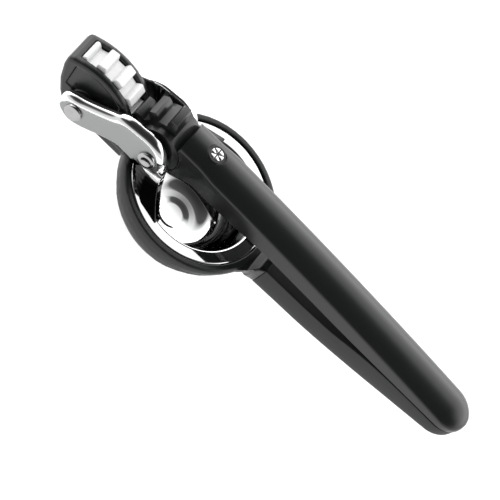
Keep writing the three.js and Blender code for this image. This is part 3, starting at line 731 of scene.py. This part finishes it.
# ------------------------------------------------------------------ lower frame
@dataclass
class LowerFrame:
    """The ring with its gear housing, and the lower handle's grip.

    Sizes are in millimetres. A table of the grip or the underside holds X and height of each row. The neck
    and the shoulder hold their first and last X, and their fades are the lengths over which the smoothing
    sets in and dies out. A flank or a side holds where it starts and the length over which it sets in.
    """

    paints: Paintbox
    inner_r: float = 33.25
    top_r: float = 35.8
    bulge_r: float = 37.0
    bulge_power: float = 0.8
    foot_r: float = 36.0
    height: float = 10.0
    bore_r: float = 30.65
    ledge: float = -3.27
    wall_steps: int = 12
    outer_edge: tuple[Point, ...] = ((-0.1, -0.15), (-0.5, 0.0))
    inner_edge: float = 0.3
    underside: tuple[Point, ...] = ((-38.0, -7.0), (-30.0, -7.0), (-24.0, -8.65), (-18.0, -9.7),
                                    (-4.0, -10.0), (5.0, -9.0), (12.5, -7.0), (18.6, -5.4),
                                    (28.0, -3.7), (38.0, -3.7))
    neck: Span = (22.0, 41.5)
    neck_fades: Span = (8.0, 1.5)
    neck_flank: Span = (0.5, 2.0)
    shoulder: Span = (-46.0, -24.0)
    shoulder_fades: Span = (4.0, 6.0)
    shoulder_side: Span = (9.6, 3.0)
    collar_x: float = 33.0
    collar_fade: float = 6.0
    flare_x: float = 21.8
    flare_length: float = 20.2
    flare_halves: tuple[float, float, float] = (27.9, 15.3, 10.4)
    collar_side_power: float = 2.38
    collar_belly_power: float = 0.31
    grip_start: float = 42.08
    grip_half: float = 10.0
    grip_tip: float = 149.4
    grip_edge: float = 0.9
    grip_bevel: float = 0.35
    grip_inset: float = 0.965
    grip_lift: float = 0.25
    side_power: float = 0.34
    belly_power: float = 0.52
    belly_steps: int = 27
    grip_top: tuple[Point, ...] = ((42.3, 4.1), (52.0, 4.2), (62.0, 4.3), (72.0, 4.7), (80.0, 5.2),
                                   (92.0, 7.2), (104.0, 8.5), (118.0, 8.9), (135.0, 8.7), (150.0, 8.5))
    grip_bottom: tuple[Point, ...] = ((42.3, -11.2), (55.0, -10.6), (72.0, -9.9), (99.0, -7.2),
                                      (126.0, -3.0), (140.0, -0.6), (152.0, 1.6))

    def build(self) -> None:
        """Builds and dresses the lower half of the press."""
        self.casting()
        self.grip()
        self.segment()
        self.paints.paint_node("rear_bush", "bronze")

    def fine_ring(self) -> bpy.types.Object:
        """Makes the ring with a bulged outer wall, and an underside that climbs towards both ends."""
        profile = [(self.bore_r, -self.height), (self.foot_r, -self.height)]
        for i in range(1, self.wall_steps):
            a = math.pi * i / self.wall_steps
            straight = self.foot_r + (self.top_r - self.foot_r) * i / self.wall_steps
            bulge = (self.bulge_r - self.foot_r) * math.sin(a) ** self.bulge_power
            profile.append((straight + bulge, -self.height + self.height * i / self.wall_steps))
        profile += [(self.top_r + out, z) for out, z in self.outer_edge]
        profile += [(self.inner_r + self.inner_edge, 0.0), (self.inner_r, -self.inner_edge),
                    (self.inner_r, self.ledge), (self.bore_r, self.ledge)]
        ring = upright("ring", profile, steps=192)
        for v in ring.data.vertices:
            x, z = v.co.x / MM, v.co.z / MM - RING_TOP
            outside = x * x + (v.co.y / MM) ** 2 > (self.inner_r + SLACK) ** 2
            if z < self.ledge - SLACK or outside:
                v.co.z = (RING_TOP + clamp(-z / self.height) * smooth_line(self.underside, x)) * MM
        return ring

    def casting(self) -> None:
        """Fuses the housing, the neck, the collar and the ring into one moulding."""
        body = join(copy_of("lower_frame", "frame_moulding"), self.fine_ring())
        melt(body, voxel=0.3, passes=5)
        self.round_collar(body)
        relax(body, 60, self.neck_share)
        relax(body, 16, self.shoulder_share)
        shade(body, sharp=60)
        self.paints.paint(body, "satin_black")
        register(body, Body.FRAME, Slot.FRAME, "lower_frame")

    def neck_share(self, x: float, y: float, z: float) -> float:
        """Says how far a point belongs to the neck, apart from the neck's flat top."""
        inside = ease((x - self.neck[0]) / self.neck_fades[0]) * ease((self.neck[1] - x) / self.neck_fades[1])
        off_top = ease((abs(z) - self.neck_flank[0]) / self.neck_flank[1])
        return inside * off_top

    def shoulder_share(self, x: float, y: float, z: float) -> float:
        """Says how far a point belongs to the shoulders, where the ring runs into the gear housing."""
        first, last = self.shoulder
        inside = ease((last - x) / self.shoulder_fades[1]) * ease((x - first) / self.shoulder_fades[0])
        beside = ease((abs(y) - self.shoulder_side[0]) / self.shoulder_side[1])
        return inside * beside

    def round_collar(self, body: bpy.types.Object) -> None:
        """Lifts the lower corners of the neck's end and the collar to a belly like the grip's."""
        top = self.grip_top[0][1] - self.grip_edge
        deep = top - self.grip_bottom[0][1]
        for v in body.data.vertices:
            x, y, z = v.co.x / MM, abs(v.co.y / MM), v.co.z / MM - RING_TOP
            if x < self.collar_x or z > 0.0:
                continue
            half = bend(self.flare_halves, clamp((x - self.flare_x) / self.flare_length))
            c = min(y / half, 1.0) ** self.collar_side_power
            low = top - deep * (1 - c * c) ** self.collar_belly_power
            v.co.z += max(low - z, 0.0) * ease((x - self.collar_x) / self.collar_fade) * MM

    def grip_section(self, x: float) -> list[Vector]:
        """Makes one section of the grip, flat on top with a round belly."""
        u = tip_share(x, self.grip_tip)
        half = (self.grip_half - TIP_TAPER * u) * tip_width(u)
        top, low = smooth_line(self.grip_top, x), smooth_line(self.grip_bottom, x)
        low += (top - low) * self.grip_lift * u ** 3
        points = []
        for i in range(self.belly_steps + 1):
            a = math.pi * i / self.belly_steps
            c, s = math.cos(a), math.sin(a)
            y = -math.copysign(abs(c) ** self.side_power, c) * half
            z = top - self.grip_edge - (top - low - self.grip_edge) * abs(s) ** self.belly_power
            points.append((y, z))
        edge = min(self.grip_edge, half * 0.5)
        corner = [(half - 0.12 * edge, top - 0.3 * edge), (half - 0.5 * edge, top - 0.05),
                  (half - 1.3 * edge, top)]
        points += [*corner, (0.0, top), *mirrored(corner)]
        return [at(x, y, z) for y, z in points]

    def grip(self) -> None:
        """Makes the lower handle's textured grip, with a small bevel where it meets the collar."""
        stations = [self.grip_start, self.grip_start + self.grip_bevel]
        stations += [self.grip_start + 1.5 + i * 4.0 for i in range(25)]
        stations += tip_stations(self.grip_tip, steps=18, first=3)
        sections = [self.grip_section(x) for x in sorted(stations)]
        middle = sum(sections[0], Vector()) / len(sections[0])
        sections[0] = [middle + (p - middle) * self.grip_inset for p in sections[1]]
        for p in sections[0]:
            p.x = self.grip_start * MM
        grip = loft("lower_grip_skin", sections)
        shade(grip, sharp=40)
        self.paints.paint(grip, "matte_black")
        register(grip, Body.FRAME, Slot.GRIP, "lower_grip")

    def segment(self) -> None:
        """Rounds the white toothed segment's edges."""
        teeth = copy_of("gear_segment", "toothed_segment")
        melt(teeth, voxel=0.22, passes=40)
        shade(teeth, sharp=60)
        self.paints.paint(teeth, "white_gear")
        register(teeth, Body.FRAME, Slot.GEAR, "gear_segment")


@dataclass
class Bowl:
    """The polished strainer bowl that sits in the ring.

    A bend is the reach, outwards and upwards, of the rounding between the wall and the lip. Each ring of
    holes is its radius and its number of holes.
    """

    paints: Paintbox
    depth: float = 34.0
    sheet: float = 0.8
    lip_r: float = 33.0
    lip_depth: float = 2.0
    lip_slope: float = 0.05
    inner_bend: Span = (0.6, 0.5)
    outer_bend: Span = (0.4, 0.7)
    shoulder_r: float = 29.6
    wall: float = 8.0
    wall_steps: int = 24
    foot_r: float = 10.0
    hole_r: float = 1.6
    rings: tuple[tuple[float, int], ...] = ((7.6, 8), (15.5, 14))

    def build(self) -> None:
        """Builds the bowl and drills its drain holes."""
        inner_floor = -(self.depth - self.sheet)
        inside, outside = [], []
        for i in range(self.wall_steps + 1):
            a = math.pi / 2 * i / self.wall_steps
            r = self.foot_r + (self.shoulder_r - self.foot_r) * math.cos(a)
            z = -self.wall + (inner_floor + self.wall) * math.sin(a)
            inside.append((r, z))
            outside.append((r + self.sheet * math.cos(a), z - self.sheet * math.sin(a)))
        lip_in = -(self.lip_depth + (self.lip_r - self.shoulder_r) * self.lip_slope)
        outer_r, outer_z = self.shoulder_r + self.sheet, lip_in - self.sheet
        lip = [(outer_r, outer_z - self.outer_bend[1]), (outer_r + self.outer_bend[0], outer_z),
               (self.lip_r, -self.lip_depth - self.sheet), (self.lip_r, -self.lip_depth),
               (self.shoulder_r + self.inner_bend[0], lip_in), (self.shoulder_r, lip_in - self.inner_bend[1])]
        profile = [(0.0, -self.depth), *reversed(outside), *lip, *inside, (0.0, inner_floor)]
        bowl = upright("bowl_shell", profile)
        drills = [self.drill(r, 2 * math.pi * (i + 0.5) / count)
                  for r, count in self.rings for i in range(count)]
        carve(bowl, join(*drills))
        shade(bowl, sharp=30)
        self.paints.paint(bowl, "mirror_steel")
        register(bowl, Body.FRAME, Slot.STEEL, "strainer_bowl")

    def drill(self, r: float, a: float) -> bpy.types.Object:
        """Makes one drill, at a radius and an angle, through the bowl's floor and its curved wall."""
        x, y = r * math.cos(a), r * math.sin(a)
        profile = rod(self.hole_r, -self.depth - 1, -self.depth + 8)
        return turned("drill", profile, lambda u, v, h: at(x + u, y + v, h), steps=24)


# ------------------------------------------------------------------ arms and plunger
@dataclass
class PressArms:
    """The two polished arms with the plunger, and the pins that they swing on.

    The arm's edges are tables of X and height. Its levels are shares of the thickness, from the inner face
    outwards, with the inset of the upper and of the lower edge there. Profiles of the plunger hold radius and
    height. The pins' heads hold radius and reach past the gap under them.
    """

    paints: Paintbox
    inner_y: float = 10.8
    outer_y: float = 16.0
    upper: tuple[Point, ...] = ((-70.2, -1.4), (-69.3, 1.6), (-66.6, 3.9), (-62.0, 6.0), (-56.0, 9.6),
                                (-50.0, 13.6), (-46.6, 16.6), (-43.0, 18.4), (-37.5, 19.3), (-32.0, 19.9),
                                (-27.0, 18.9), (-22.7, 15.9), (-19.1, 10.5), (-16.2, 4.2), (-14.2, -1.9))
    lower: tuple[Point, ...] = ((-20.0, -1.6), (-25.6, -0.6), (-29.6, 0.9), (-34.7, 2.2), (-40.6, 2.0),
                                (-46.8, -1.2), (-52.0, -4.6), (-57.0, -7.4), (-61.8, -8.6), (-66.4, -7.2),
                                (-69.3, -4.6))
    edge_steps: int = 6
    edge_blend: int = 5
    inner_levels: tuple[tuple[float, float, float], ...] = (
        (0.0, 1.0, 0.8), (0.03, 0.55, 0.4), (0.09, 0.18, 0.12), (0.17, 0.0, 0.0), (0.3, 0.05, 0.0))
    crown_steps: int = 8
    crown_top: float = 4.1
    crown_low: float = 1.4
    skins: tuple[str, ...] = ("mirror_steel", "satin_steel_painted_shade", "painted_shade_steel")
    flat: float = 0.93
    face_depth: float = 0.6
    # Below this height and ahead of this X, the arm takes the painted shade steel.
    shade_top: float = 4.6
    shade_rear: float = -31.5
    foot_top: tuple[Point, ...] = ((-17.2, 11.0), (-17.4, 15.6), (-24.0, 15.6), (-29.5, 15.4), (-29.0, 11.4),
                                   (-23.0, 11.0))
    foot_base: tuple[Point, ...] = ((-4.0, 26.8), (-4.0, 31.6), (-15.5, 28.0), (-27.2, 17.6), (-23.4, 13.2),
                                    (-16.0, 21.4))
    foot_z: float = 8.5
    foot_height: float = 9.4
    foot_steps: int = 8
    flange: tuple[Point, ...] = ((32.6, -0.85), (32.3, -0.6), (32.1, -0.6), (28.0, -0.6), (27.7, -0.6),
                                 (27.0, -0.85), (26.6, -1.4), (26.2, -2.4), (25.5, -4.2), (24.9, -5.7),
                                 (24.6, -7.0))
    pit: tuple[Point, ...] = ((8.2, -26.42), (7.6, -26.48), (6.9, -26.6), (6.2, -26.74), (5.5, -26.85),
                              (4.8, -26.9), (0.0, -26.9))
    under_floor: tuple[Point, ...] = ((0.0, -27.9), (6.8, -27.9), (8.2, -27.6), (9.2, -27.4))
    under_flange: tuple[Point, ...] = ((25.6, -7.0), (26.3, -4.6), (27.0, -2.6), (27.8, -1.75), (32.3, -1.5),
                                       (32.6, -1.2))
    floor_r: float = 9.0
    dome_z: float = -7.0
    dome_power: float = 0.85
    dome_steps: int = 22
    inner_dome: Span = (15.6, 19.4)
    outer_dome: Span = (16.6, 20.4)
    head_room: tuple[Point, ...] = ((17.6, 5.9), (11.1, 9.3))
    pin_gap: float = 0.3
    shaft_r: float = 3.0
    near_head: tuple[Point, ...] = ((0.0, 0.75), (1.3, 0.8), (2.0, 1.05), (2.9, 1.2), (3.6, 1.05),
                                    (4.05, 0.7), (4.2, 0.3), (4.2, -0.3))
    far_head: tuple[Point, ...] = ((0.0, 0.8), (1.3, 0.8), (2.0, 1.0), (2.9, 1.15), (3.6, 1.05),
                                   (4.05, 0.7), (4.2, 0.3), (4.2, -0.3))

    def build(self) -> None:
        """Builds the arms, the plunger and the pins."""
        for side, word, node in ((-1, "near", "right_arm"), (1, "far", "left_arm")):
            self.arm(side, word, node)
        self.plunger()
        for joint, word in (("arm_hinge", "rear"), ("handle_hinge", "front")):
            self.pin(pivot_of(joint), word)
            self.paints.paint_node(f"{word}_washer_left", "black_washer")
            self.paints.paint_node(f"{word}_washer_right", "black_washer")

    def arm_levels(self) -> list[tuple[float, float, float]]:
        """Lists the arm's levels, with a broad crown over the outer part of its thickness."""
        levels = list(self.inner_levels)
        start, inset, _ = levels[-1]
        for i in range(1, self.crown_steps + 1):
            a = math.pi / 2 * i / self.crown_steps
            fall = 1 - math.cos(a)
            levels.append((start + (1 - start) * math.sin(a), inset + self.crown_top * fall,
                           self.crown_low * fall ** 1.5))
        return levels

    def arm(self, side: int, word: str, node: str) -> None:
        """Makes one arm with its broad rounded outer edge and its flared foot.

        Args:
            side: 1 for the left arm, -1 for the right one.
            word: Name of the side.
            node: The node that it stands for.
        """
        ring = closed_curve([*self.upper, *self.lower], self.edge_steps)
        count = len(ring)
        on_top = [1.0 if i < self.edge_steps * (len(self.upper) - 1) else 0.0 for i in range(count)]
        window = range(-self.edge_blend, self.edge_blend + 1)
        top_share = [sum(on_top[(i + k) % count] for k in window) / len(window) for i in range(count)]
        normals = []
        for i in range(count):
            along = (ring[(i + 2) % count] - ring[i - 2]).normalized()
            normals.append(Vector((along.y, -along.x)))
        sections = []
        for share, top_in, low_in in self.arm_levels():
            y = side * (self.inner_y + (self.outer_y - self.inner_y) * share)
            loop = []
            for i, p in enumerate(ring):
                inset = top_in * top_share[i] + low_in * (1 - top_share[i])
                q = p + normals[i] * inset
                loop.append(at(q.x, y, q.y))
            sections.append(loop)
        arm = loft(f"{word}_arm_casting", sections)
        join(arm, self.foot(side))
        melt(arm, voxel=0.3, passes=10)
        shade(arm, sharp=50)
        self.paints.paint(arm, *self.skins)
        self.finish_faces(arm, side)
        register(arm, Body.ARMS, Slot.STEEL, node)

    def finish_faces(self, arm: bpy.types.Object, side: int) -> None:
        """Gives the arm's flat outer face the satin finish, whose colour is darkened as painted shade, and
        paints its foot and low end with the near-black steel as painted shade.
        """
        satin, dark = self.skins.index("satin_steel_painted_shade"), self.skins.index("painted_shade_steel")
        near_face = (self.outer_y - self.face_depth) * MM
        for face in arm.data.polygons:
            x, z = face.center.x / MM, face.center.z / MM - RING_TOP
            # painted shade: the foot and the arm's low end take the near-black steel
            if z < self.shade_top and x > self.shade_rear:
                face.material_index = dark
            # the flat outer face: satin finish whose darkened colour is painted shade
            elif face.normal.y * side > self.flat and face.center.y * side > near_face:
                face.material_index = satin

    def foot(self, side: int) -> bpy.types.Object:
        """Makes the flare that spreads from the arm's end over the plunger's flange."""
        sections = []
        for i in range(self.foot_steps + 1):
            t = i / self.foot_steps
            spread = t ** 2
            z = self.foot_z - self.foot_height * (1 - (1 - t) ** 1.5)
            sections.append([at(a[0] + (b[0] - a[0]) * spread, side * (a[1] + (b[1] - a[1]) * spread), z)
                             for a, b in zip(self.foot_top, self.foot_base)])
        return loft("foot", sections)

    def dome(self, size: Point, last: int) -> list[Point]:
        """Draws the cup's wall from its top downwards.

        Args:
            size: How far the wall reaches past the floor's radius, and how far it goes down.
            last: The last of the wall's steps that is drawn.

        Returns:
            Radius and height of each corner.
        """
        result = []
        for i in range(1, last + 1):
            a = math.pi / 2 * i / self.dome_steps
            result.append((self.floor_r + size[0] * math.cos(a) ** self.dome_power,
                           self.dome_z - size[1] * math.sin(a) ** self.dome_power))
        return result

    def plunger(self) -> None:
        """Makes the dished plunger: a flat flange, a domed wall and a shallow round pit in its floor."""
        inside = [*self.flange, *self.dome(self.inner_dome, self.dome_steps - 1), *self.pit]
        outside = [*self.under_floor, *reversed(self.dome(self.outer_dome, self.dome_steps - 2)),
                   *self.under_flange]
        cup = upright("plunger_dish", [*inside, *outside], steps=160)
        hinge = pivot_of("handle_hinge")
        for reach, half in self.head_room:
            carve(cup, across("head sweep", hinge, rod(reach, -half, half), steps=96))
        shade(cup, sharp=40)
        self.paints.paint(cup, "mirror_steel")
        register(cup, Body.ARMS, Slot.STEEL, "plunger_cup")

    def pin(self, pivot: Point, word: str) -> None:
        """Makes a pivot pin with a rivet head, and the cap at its far end.

        Args:
            pivot: X and Z of the pin's axis.
            word: Name of the pivot.
        """
        face, end = self.outer_y + self.pin_gap, self.outer_y - self.pin_gap
        shaft = [(r, -face - out) for r, out in self.near_head]
        shaft += [(self.shaft_r, -face + 0.35), (self.shaft_r, end), (0.0, end)]
        cap = [(r, face + out) for r, out in self.far_head] + [(0.0, face - self.pin_gap)]
        for name, profile, node in ((f"{word}_pin_turned", shaft, f"{word}_pivot_pin"),
                                    (f"{word}_pin_end", cap, f"{word}_pin_cap")):
            piece = across(name, pivot, profile)
            shade(piece, sharp=40)
            self.paints.paint(piece, "pin_steel")
            register(piece, Body.ARMS, Slot.PIN, node)


# ------------------------------------------------------------------ upper handle
@dataclass
class UpperHandle:
    """The crowned upper handle, its toothed head and its badge.

    The side edge runs along a curve with three control points. The underside is a table of X and height. The
    roll is the rounding of the long edges, as inset and height over the side edge.
    """

    paints: Paintbox
    front_x: float = -24.0
    nose_x: float = -20.6
    tip_x: float = 150.0
    half: float = 10.0
    head_half: float = 9.0
    widen_x: float = -10.5
    widen_length: float = 11.5
    crown: float = 4.2
    crown_power: float = 2.3
    crown_steps: int = 11
    wall: float = 2.0
    liner_room: float = 2.6
    skirt: float = 1.2
    hem: float = 0.25
    roll: tuple[Point, ...] = ((0.0, -0.9), (0.03, -0.45), (0.16, -0.05), (0.45, 0.35))
    tip_fall: float = 0.9
    tip_lift: float = 0.25
    edge: tuple[Point, ...] = ((-24.0, 21.6), (64.0, 21.2), (152.0, 11.6))
    underside: tuple[Point, ...] = ((-24.0, 2.4), (-17.6, 3.9), (-12.0, 6.4), (-6.0, 9.4), (4.0, 10.1),
                                    (16.5, 10.4), (33.0, 11.5), (57.0, 10.9), (88.0, 9.8), (118.0, 9.4),
                                    (152.0, 9.0))
    hub_r: float = 11.1
    badge_x: float = -8.0
    badge_r: float = 4.2
    badge_sink: float = 0.45
    badge_thickness: float = 1.5
    badge_chamfer: Span = (0.2, 0.15)
    seat_r: float = 4.5
    seat_z: float = 24.9
    slices: int = 6
    slice_inner: float = 0.55
    slice_outer: float = 2.9
    slice_angle: float = 24.0
    slice_levels: Span = (-0.2, 0.16)

    def build(self) -> None:
        """Builds the shell, the toothed head and the badge."""
        self.shell()
        self.head()
        self.badge()
        self.paints.paint_node("upper_liner", "matte_black")
        self.paints.paint_node("front_bush", "bronze")

    def edge_height(self, x: float) -> float:
        """Reads the height of the long side edges at X."""
        first, last = self.edge[0][0], self.edge[-1][0]
        return bend([z for _, z in self.edge], (x - first) / (last - first))

    def half_width(self, x: float) -> float:
        """Reads half of the handle's width at X: narrow at the head, round at the tip."""
        grow = ease((x - self.widen_x) / self.widen_length)
        u = tip_share(x, self.tip_x)
        full = self.head_half + (self.half - self.head_half) * grow - TIP_TAPER * u
        return full * tip_width(u)

    def section(self, x: float) -> list[Vector]:
        """Makes one section of the shell, from one skirt over the crown to the other, and back inside."""
        half = max(self.half_width(x), THIN_END)
        u = tip_share(x, self.tip_x)
        edge = self.edge_height(x) - self.tip_fall * u ** 3
        low = smooth_line(self.underside, x) + self.tip_lift * u ** 4
        crown = self.crown * min(half / self.half, 1.0) ** 0.8
        flank = [(-half + self.hem, low), (-half, low + self.hem), (-half, low + self.skirt),
                 (-half, (low + edge) / 2)]
        flank += [(-half + inset, edge + rise) for inset, rise in self.roll]
        shares = [-1 + i / self.crown_steps for i in range(1, 2 * self.crown_steps)]
        arch = [(half * s, edge + crown * (1 - abs(s) ** self.crown_power)) for s in shares]
        wall = min(self.wall, half * 0.45)
        roof = min(low + self.liner_room, edge - 0.5)
        hollow = [(half - wall, low), (half - wall, roof)]
        points = [*flank, *arch, *mirrored(flank), *hollow, *mirrored(hollow)]
        return [at(x, y, z) for y, z in points]

    def on_badge(self, x: float, y: float, z: float) -> Vector:
        """Places a point by its millimetres from the badge's axis, with Z from the ring's top edge."""
        return at(self.badge_x + x, y, z)

    def shell(self) -> None:
        """Makes the shell, and cuts out the hub's space, the front and the badge's seat."""
        stations = [self.front_x + 1.6 * i for i in range(18)]
        stations += [5.6 + 4.2 * i for i in range(32)]
        stations += tip_stations(self.tip_x, steps=20, first=1)
        shell = loft("handle_shell", [self.section(x) for x in stations])
        space = across("hub space", pivot_of("handle_hinge"), rod(self.hub_r, -CLEAR, CLEAR), steps=96)
        corners = ((-CLEAR, -CLEAR / 2), (CLEAR, -CLEAR / 2), (CLEAR, 2 * CLEAR), (-CLEAR, 2 * CLEAR))
        front = loft("front", [[at(x, y, z) for y, z in corners] for x in (-2 * CLEAR, self.nose_x)])
        seat = turned("seat", rod(self.seat_r, self.seat_z, 2 * CLEAR), self.on_badge, steps=64)
        carve(shell, space, front, seat)
        soften(shell, width=0.35, limit=50)
        shade(shell, sharp=40)
        self.paints.paint(shell, "satin_black")
        register(shell, Body.HANDLE, Slot.FRAME, "upper_shell")

    def head(self) -> None:
        """Rounds the edges of the pinion teeth and the hub."""
        head = copy_of("handle_core", "toothed_head")
        soften(head, width=0.5)
        shade(head, sharp=40)
        self.paints.paint(head, "satin_black")
        register(head, Body.HANDLE, Slot.FRAME, "handle_core")

    def badge(self) -> None:
        """Makes the badge: a dark disc with a plain mark like a slice of fruit."""
        top = self.edge_height(self.badge_x) + self.crown - self.badge_sink
        inset, drop = self.badge_chamfer
        base = top - self.badge_thickness
        plate = [(0.0, base), (self.badge_r, base), (self.badge_r, top - drop), (self.badge_r - inset, top),
                 (0.0, top)]
        disc = turned("badge_plate", plate, self.on_badge, steps=64)
        shade(disc, sharp=30)
        self.paints.paint(disc, "satin_black")
        register(disc, Body.HANDLE, Slot.FRAME, "badge_disc")
        wedges = []
        for i in range(self.slices):
            loop = self.wedge(2 * math.pi / self.slices * i)
            wedges.append(loft("wedge", [[self.on_badge(x, y, top + level) for x, y in loop]
                                         for level in self.slice_levels]))
        mark = join(*wedges)
        soften(mark, width=0.08, segments=2)
        shade(mark, sharp=30)
        self.paints.paint(mark, "mirror_steel")
        mark.name = "badge_slices"
        register(mark, Body.HANDLE, Slot.PIN)

    def wedge(self, angle: float, steps: int = 6) -> list[Point]:
        """Outlines one slice segment, with its point towards the middle.

        Args:
            angle: The direction it points away in.
            steps: Facets of its round rim.

        Returns:
            Its corners in the plane of the badge.
        """
        half = math.radians(self.slice_angle)
        turns = [angle + half * (2 * k / steps - 1) for k in range(steps + 1)]
        return [(self.slice_inner * math.cos(angle), self.slice_inner * math.sin(angle)),
                *((self.slice_outer * math.cos(a), self.slice_outer * math.sin(a)) for a in turns)]


# ------------------------------------------------------------------ studio
@dataclass(frozen=True)
class Lamp:
    """A soft square lamp that points at the origin, in metres and watts."""

    name: str
    spot: tuple[float, float, float]
    size: float
    power: float


@dataclass
class Studio:
    """The pale floor, the soft light and the camera.

    Angles are in degrees, distances in millimetres, and the target's height counts from the ring's top edge.
    A wall holds height, as the Z of the direction, and brightness of each stop.
    """

    azimuth: float = -13.64
    elevation: float = 52.79
    roll: float = 55.10
    distance: float = 925.39
    lens: float = 158.24
    target: tuple[float, float, float] = (31.80, -4.79, 0.0)
    floor_half: float = 3.0
    floor_z: float = -0.0004
    floor_shade: float = 0.3
    floor_glow: float = 0.8
    back_wall: tuple[Point, ...] = ((0.0, 2.6), (0.3, 3.3), (0.6, 2.4), (0.81, 1.3), (0.88, 0.1), (1.0, 0.03))
    front_wall: tuple[Point, ...] = ((0.0, 0.85), (0.25, 0.8), (0.42, 0.1), (0.7, 0.03), (1.0, 0.03))
    wall_blend: float = 2.2
    lights: tuple[Lamp, ...] = (Lamp("key", (-0.5, 0.5, 1.2), 0.9, 16.0),
                                Lamp("fill", (0.6, -0.7, 1.0), 1.0, 9.0))

    def build(self) -> None:
        """Sets up the studio."""
        self.camera()
        self.floor()
        self.sky()
        self.lamps()
        bpy.context.scene.view_settings.view_transform = "Standard"

    def camera(self) -> None:
        """Places the camera."""
        a, e, r = (math.radians(v) for v in (self.azimuth, self.elevation, self.roll))
        back = Vector((math.sin(a) * math.cos(e), -math.cos(a) * math.cos(e), math.sin(e)))
        right = Vector((math.cos(a), math.sin(a), 0.0))
        up = back.cross(right)
        across_view = right * math.cos(r) + up * math.sin(r)
        up_view = up * math.cos(r) - right * math.sin(r)
        data = bpy.data.cameras.new("camera")
        data.sensor_width = 36.0
        data.lens = self.lens
        data.clip_start = 0.05
        data.clip_end = 20.0
        camera = bpy.data.objects.new("camera", data)
        bpy.context.scene.collection.objects.link(camera)
        place = Matrix((across_view, up_view, back)).transposed().to_4x4()
        place.translation = at(*self.target) + back * self.distance * MM
        camera.matrix_world = place
        bpy.context.scene.camera = camera

    def floor(self) -> None:
        """Lays a plain pale floor under the bowl, bright enough to keep the shadow on it soft."""
        corners = ((-1, -1), (1, -1), (1, 1), (-1, 1))
        floor = mesh_object("floor", [Vector((x * self.floor_half, y * self.floor_half, self.floor_z))
                                      for x, y in corners], [(0, 1, 2, 3)])
        paint = bpy.data.materials.new("Pale floor")
        paint.use_nodes = True
        shader = paint.node_tree.nodes["Principled BSDF"]
        shader.inputs["Base Color"].default_value = (self.floor_shade,) * 3 + (1.0,)
        shader.inputs["Roughness"].default_value = 0.9
        shader.inputs["Specular IOR Level"].default_value = 0.0
        shader.inputs["Emission Color"].default_value = (1.0, 1.0, 1.0, 1.0)
        shader.inputs["Emission Strength"].default_value = self.floor_glow
        floor.data.materials.append(paint)

    def sky(self) -> None:
        """Surrounds the press with a studio: bright walls low down, and a dark ceiling."""
        world = bpy.data.worlds.new("studio")
        bpy.context.scene.world = world
        world.use_nodes = True
        tree = world.node_tree
        place = tree.nodes.new("ShaderNodeTexCoord")
        axes = tree.nodes.new("ShaderNodeSeparateXYZ")
        tree.links.new(place.outputs["Generated"], axes.inputs[0])
        back = self.wall(tree, axes.outputs["Z"], self.back_wall)
        front = self.wall(tree, axes.outputs["Z"], self.front_wall)
        turned_share = math_node(tree, "MULTIPLY", axes.outputs["Y"], self.wall_blend)
        side = math_node(tree, "ADD", turned_share, 0.5, clamped=True)
        mix = tree.nodes.new("ShaderNodeMix")
        tree.links.new(side, mix.inputs["Factor"])
        tree.links.new(front, mix.inputs["A"])
        tree.links.new(back, mix.inputs["B"])
        tree.nodes["Background"].inputs["Color"].default_value = (1.0, 1.0, 1.0, 1.0)
        tree.links.new(mix.outputs["Result"], tree.nodes["Background"].inputs["Strength"])

    def wall(self, tree: bpy.types.NodeTree, height: bpy.types.NodeSocket,
             stops: Sequence[Point]) -> bpy.types.NodeSocket:
        """Adds a brightness that changes with height.

        Args:
            tree: The world's node tree.
            height: The direction's Z.
            stops: Height and brightness of each stop.

        Returns:
            The brightness socket.
        """
        ramp = tree.nodes.new("ShaderNodeValToRGB")
        top = max(value for _, value in stops)
        while len(ramp.color_ramp.elements) < len(stops):
            ramp.color_ramp.elements.new(1.0)
        for element, (spot, value) in zip(ramp.color_ramp.elements, stops):
            element.position = spot
            element.color = (value / top,) * 3 + (1.0,)
        tree.links.new(height, ramp.inputs["Fac"])
        return math_node(tree, "MULTIPLY", ramp.outputs["Color"], top)

    def lamps(self) -> None:
        """Hangs soft lamps that light the press and the floor but don't show in the polish."""
        for light in self.lights:
            data = bpy.data.lights.new(light.name, "AREA")
            data.size = light.size
            data.energy = light.power
            lamp = bpy.data.objects.new(light.name, data)
            lamp.location = light.spot
            lamp.rotation_euler = (-Vector(light.spot)).to_track_quat("-Z", "Y").to_euler()
            lamp.visible_glossy = False
            bpy.context.scene.collection.objects.link(lamp)


def main() -> None:
    """Builds every sub-assembly and the studio."""
    logging.basicConfig(level=logging.INFO, format="%(name)s: %(message)s")
    paints = Paintbox()
    Studio().build()
    LowerFrame(paints).build()
    Bowl(paints).build()
    PressArms(paints).build()
    UpperHandle(paints).build()


if __name__ == "__main__":
    main()
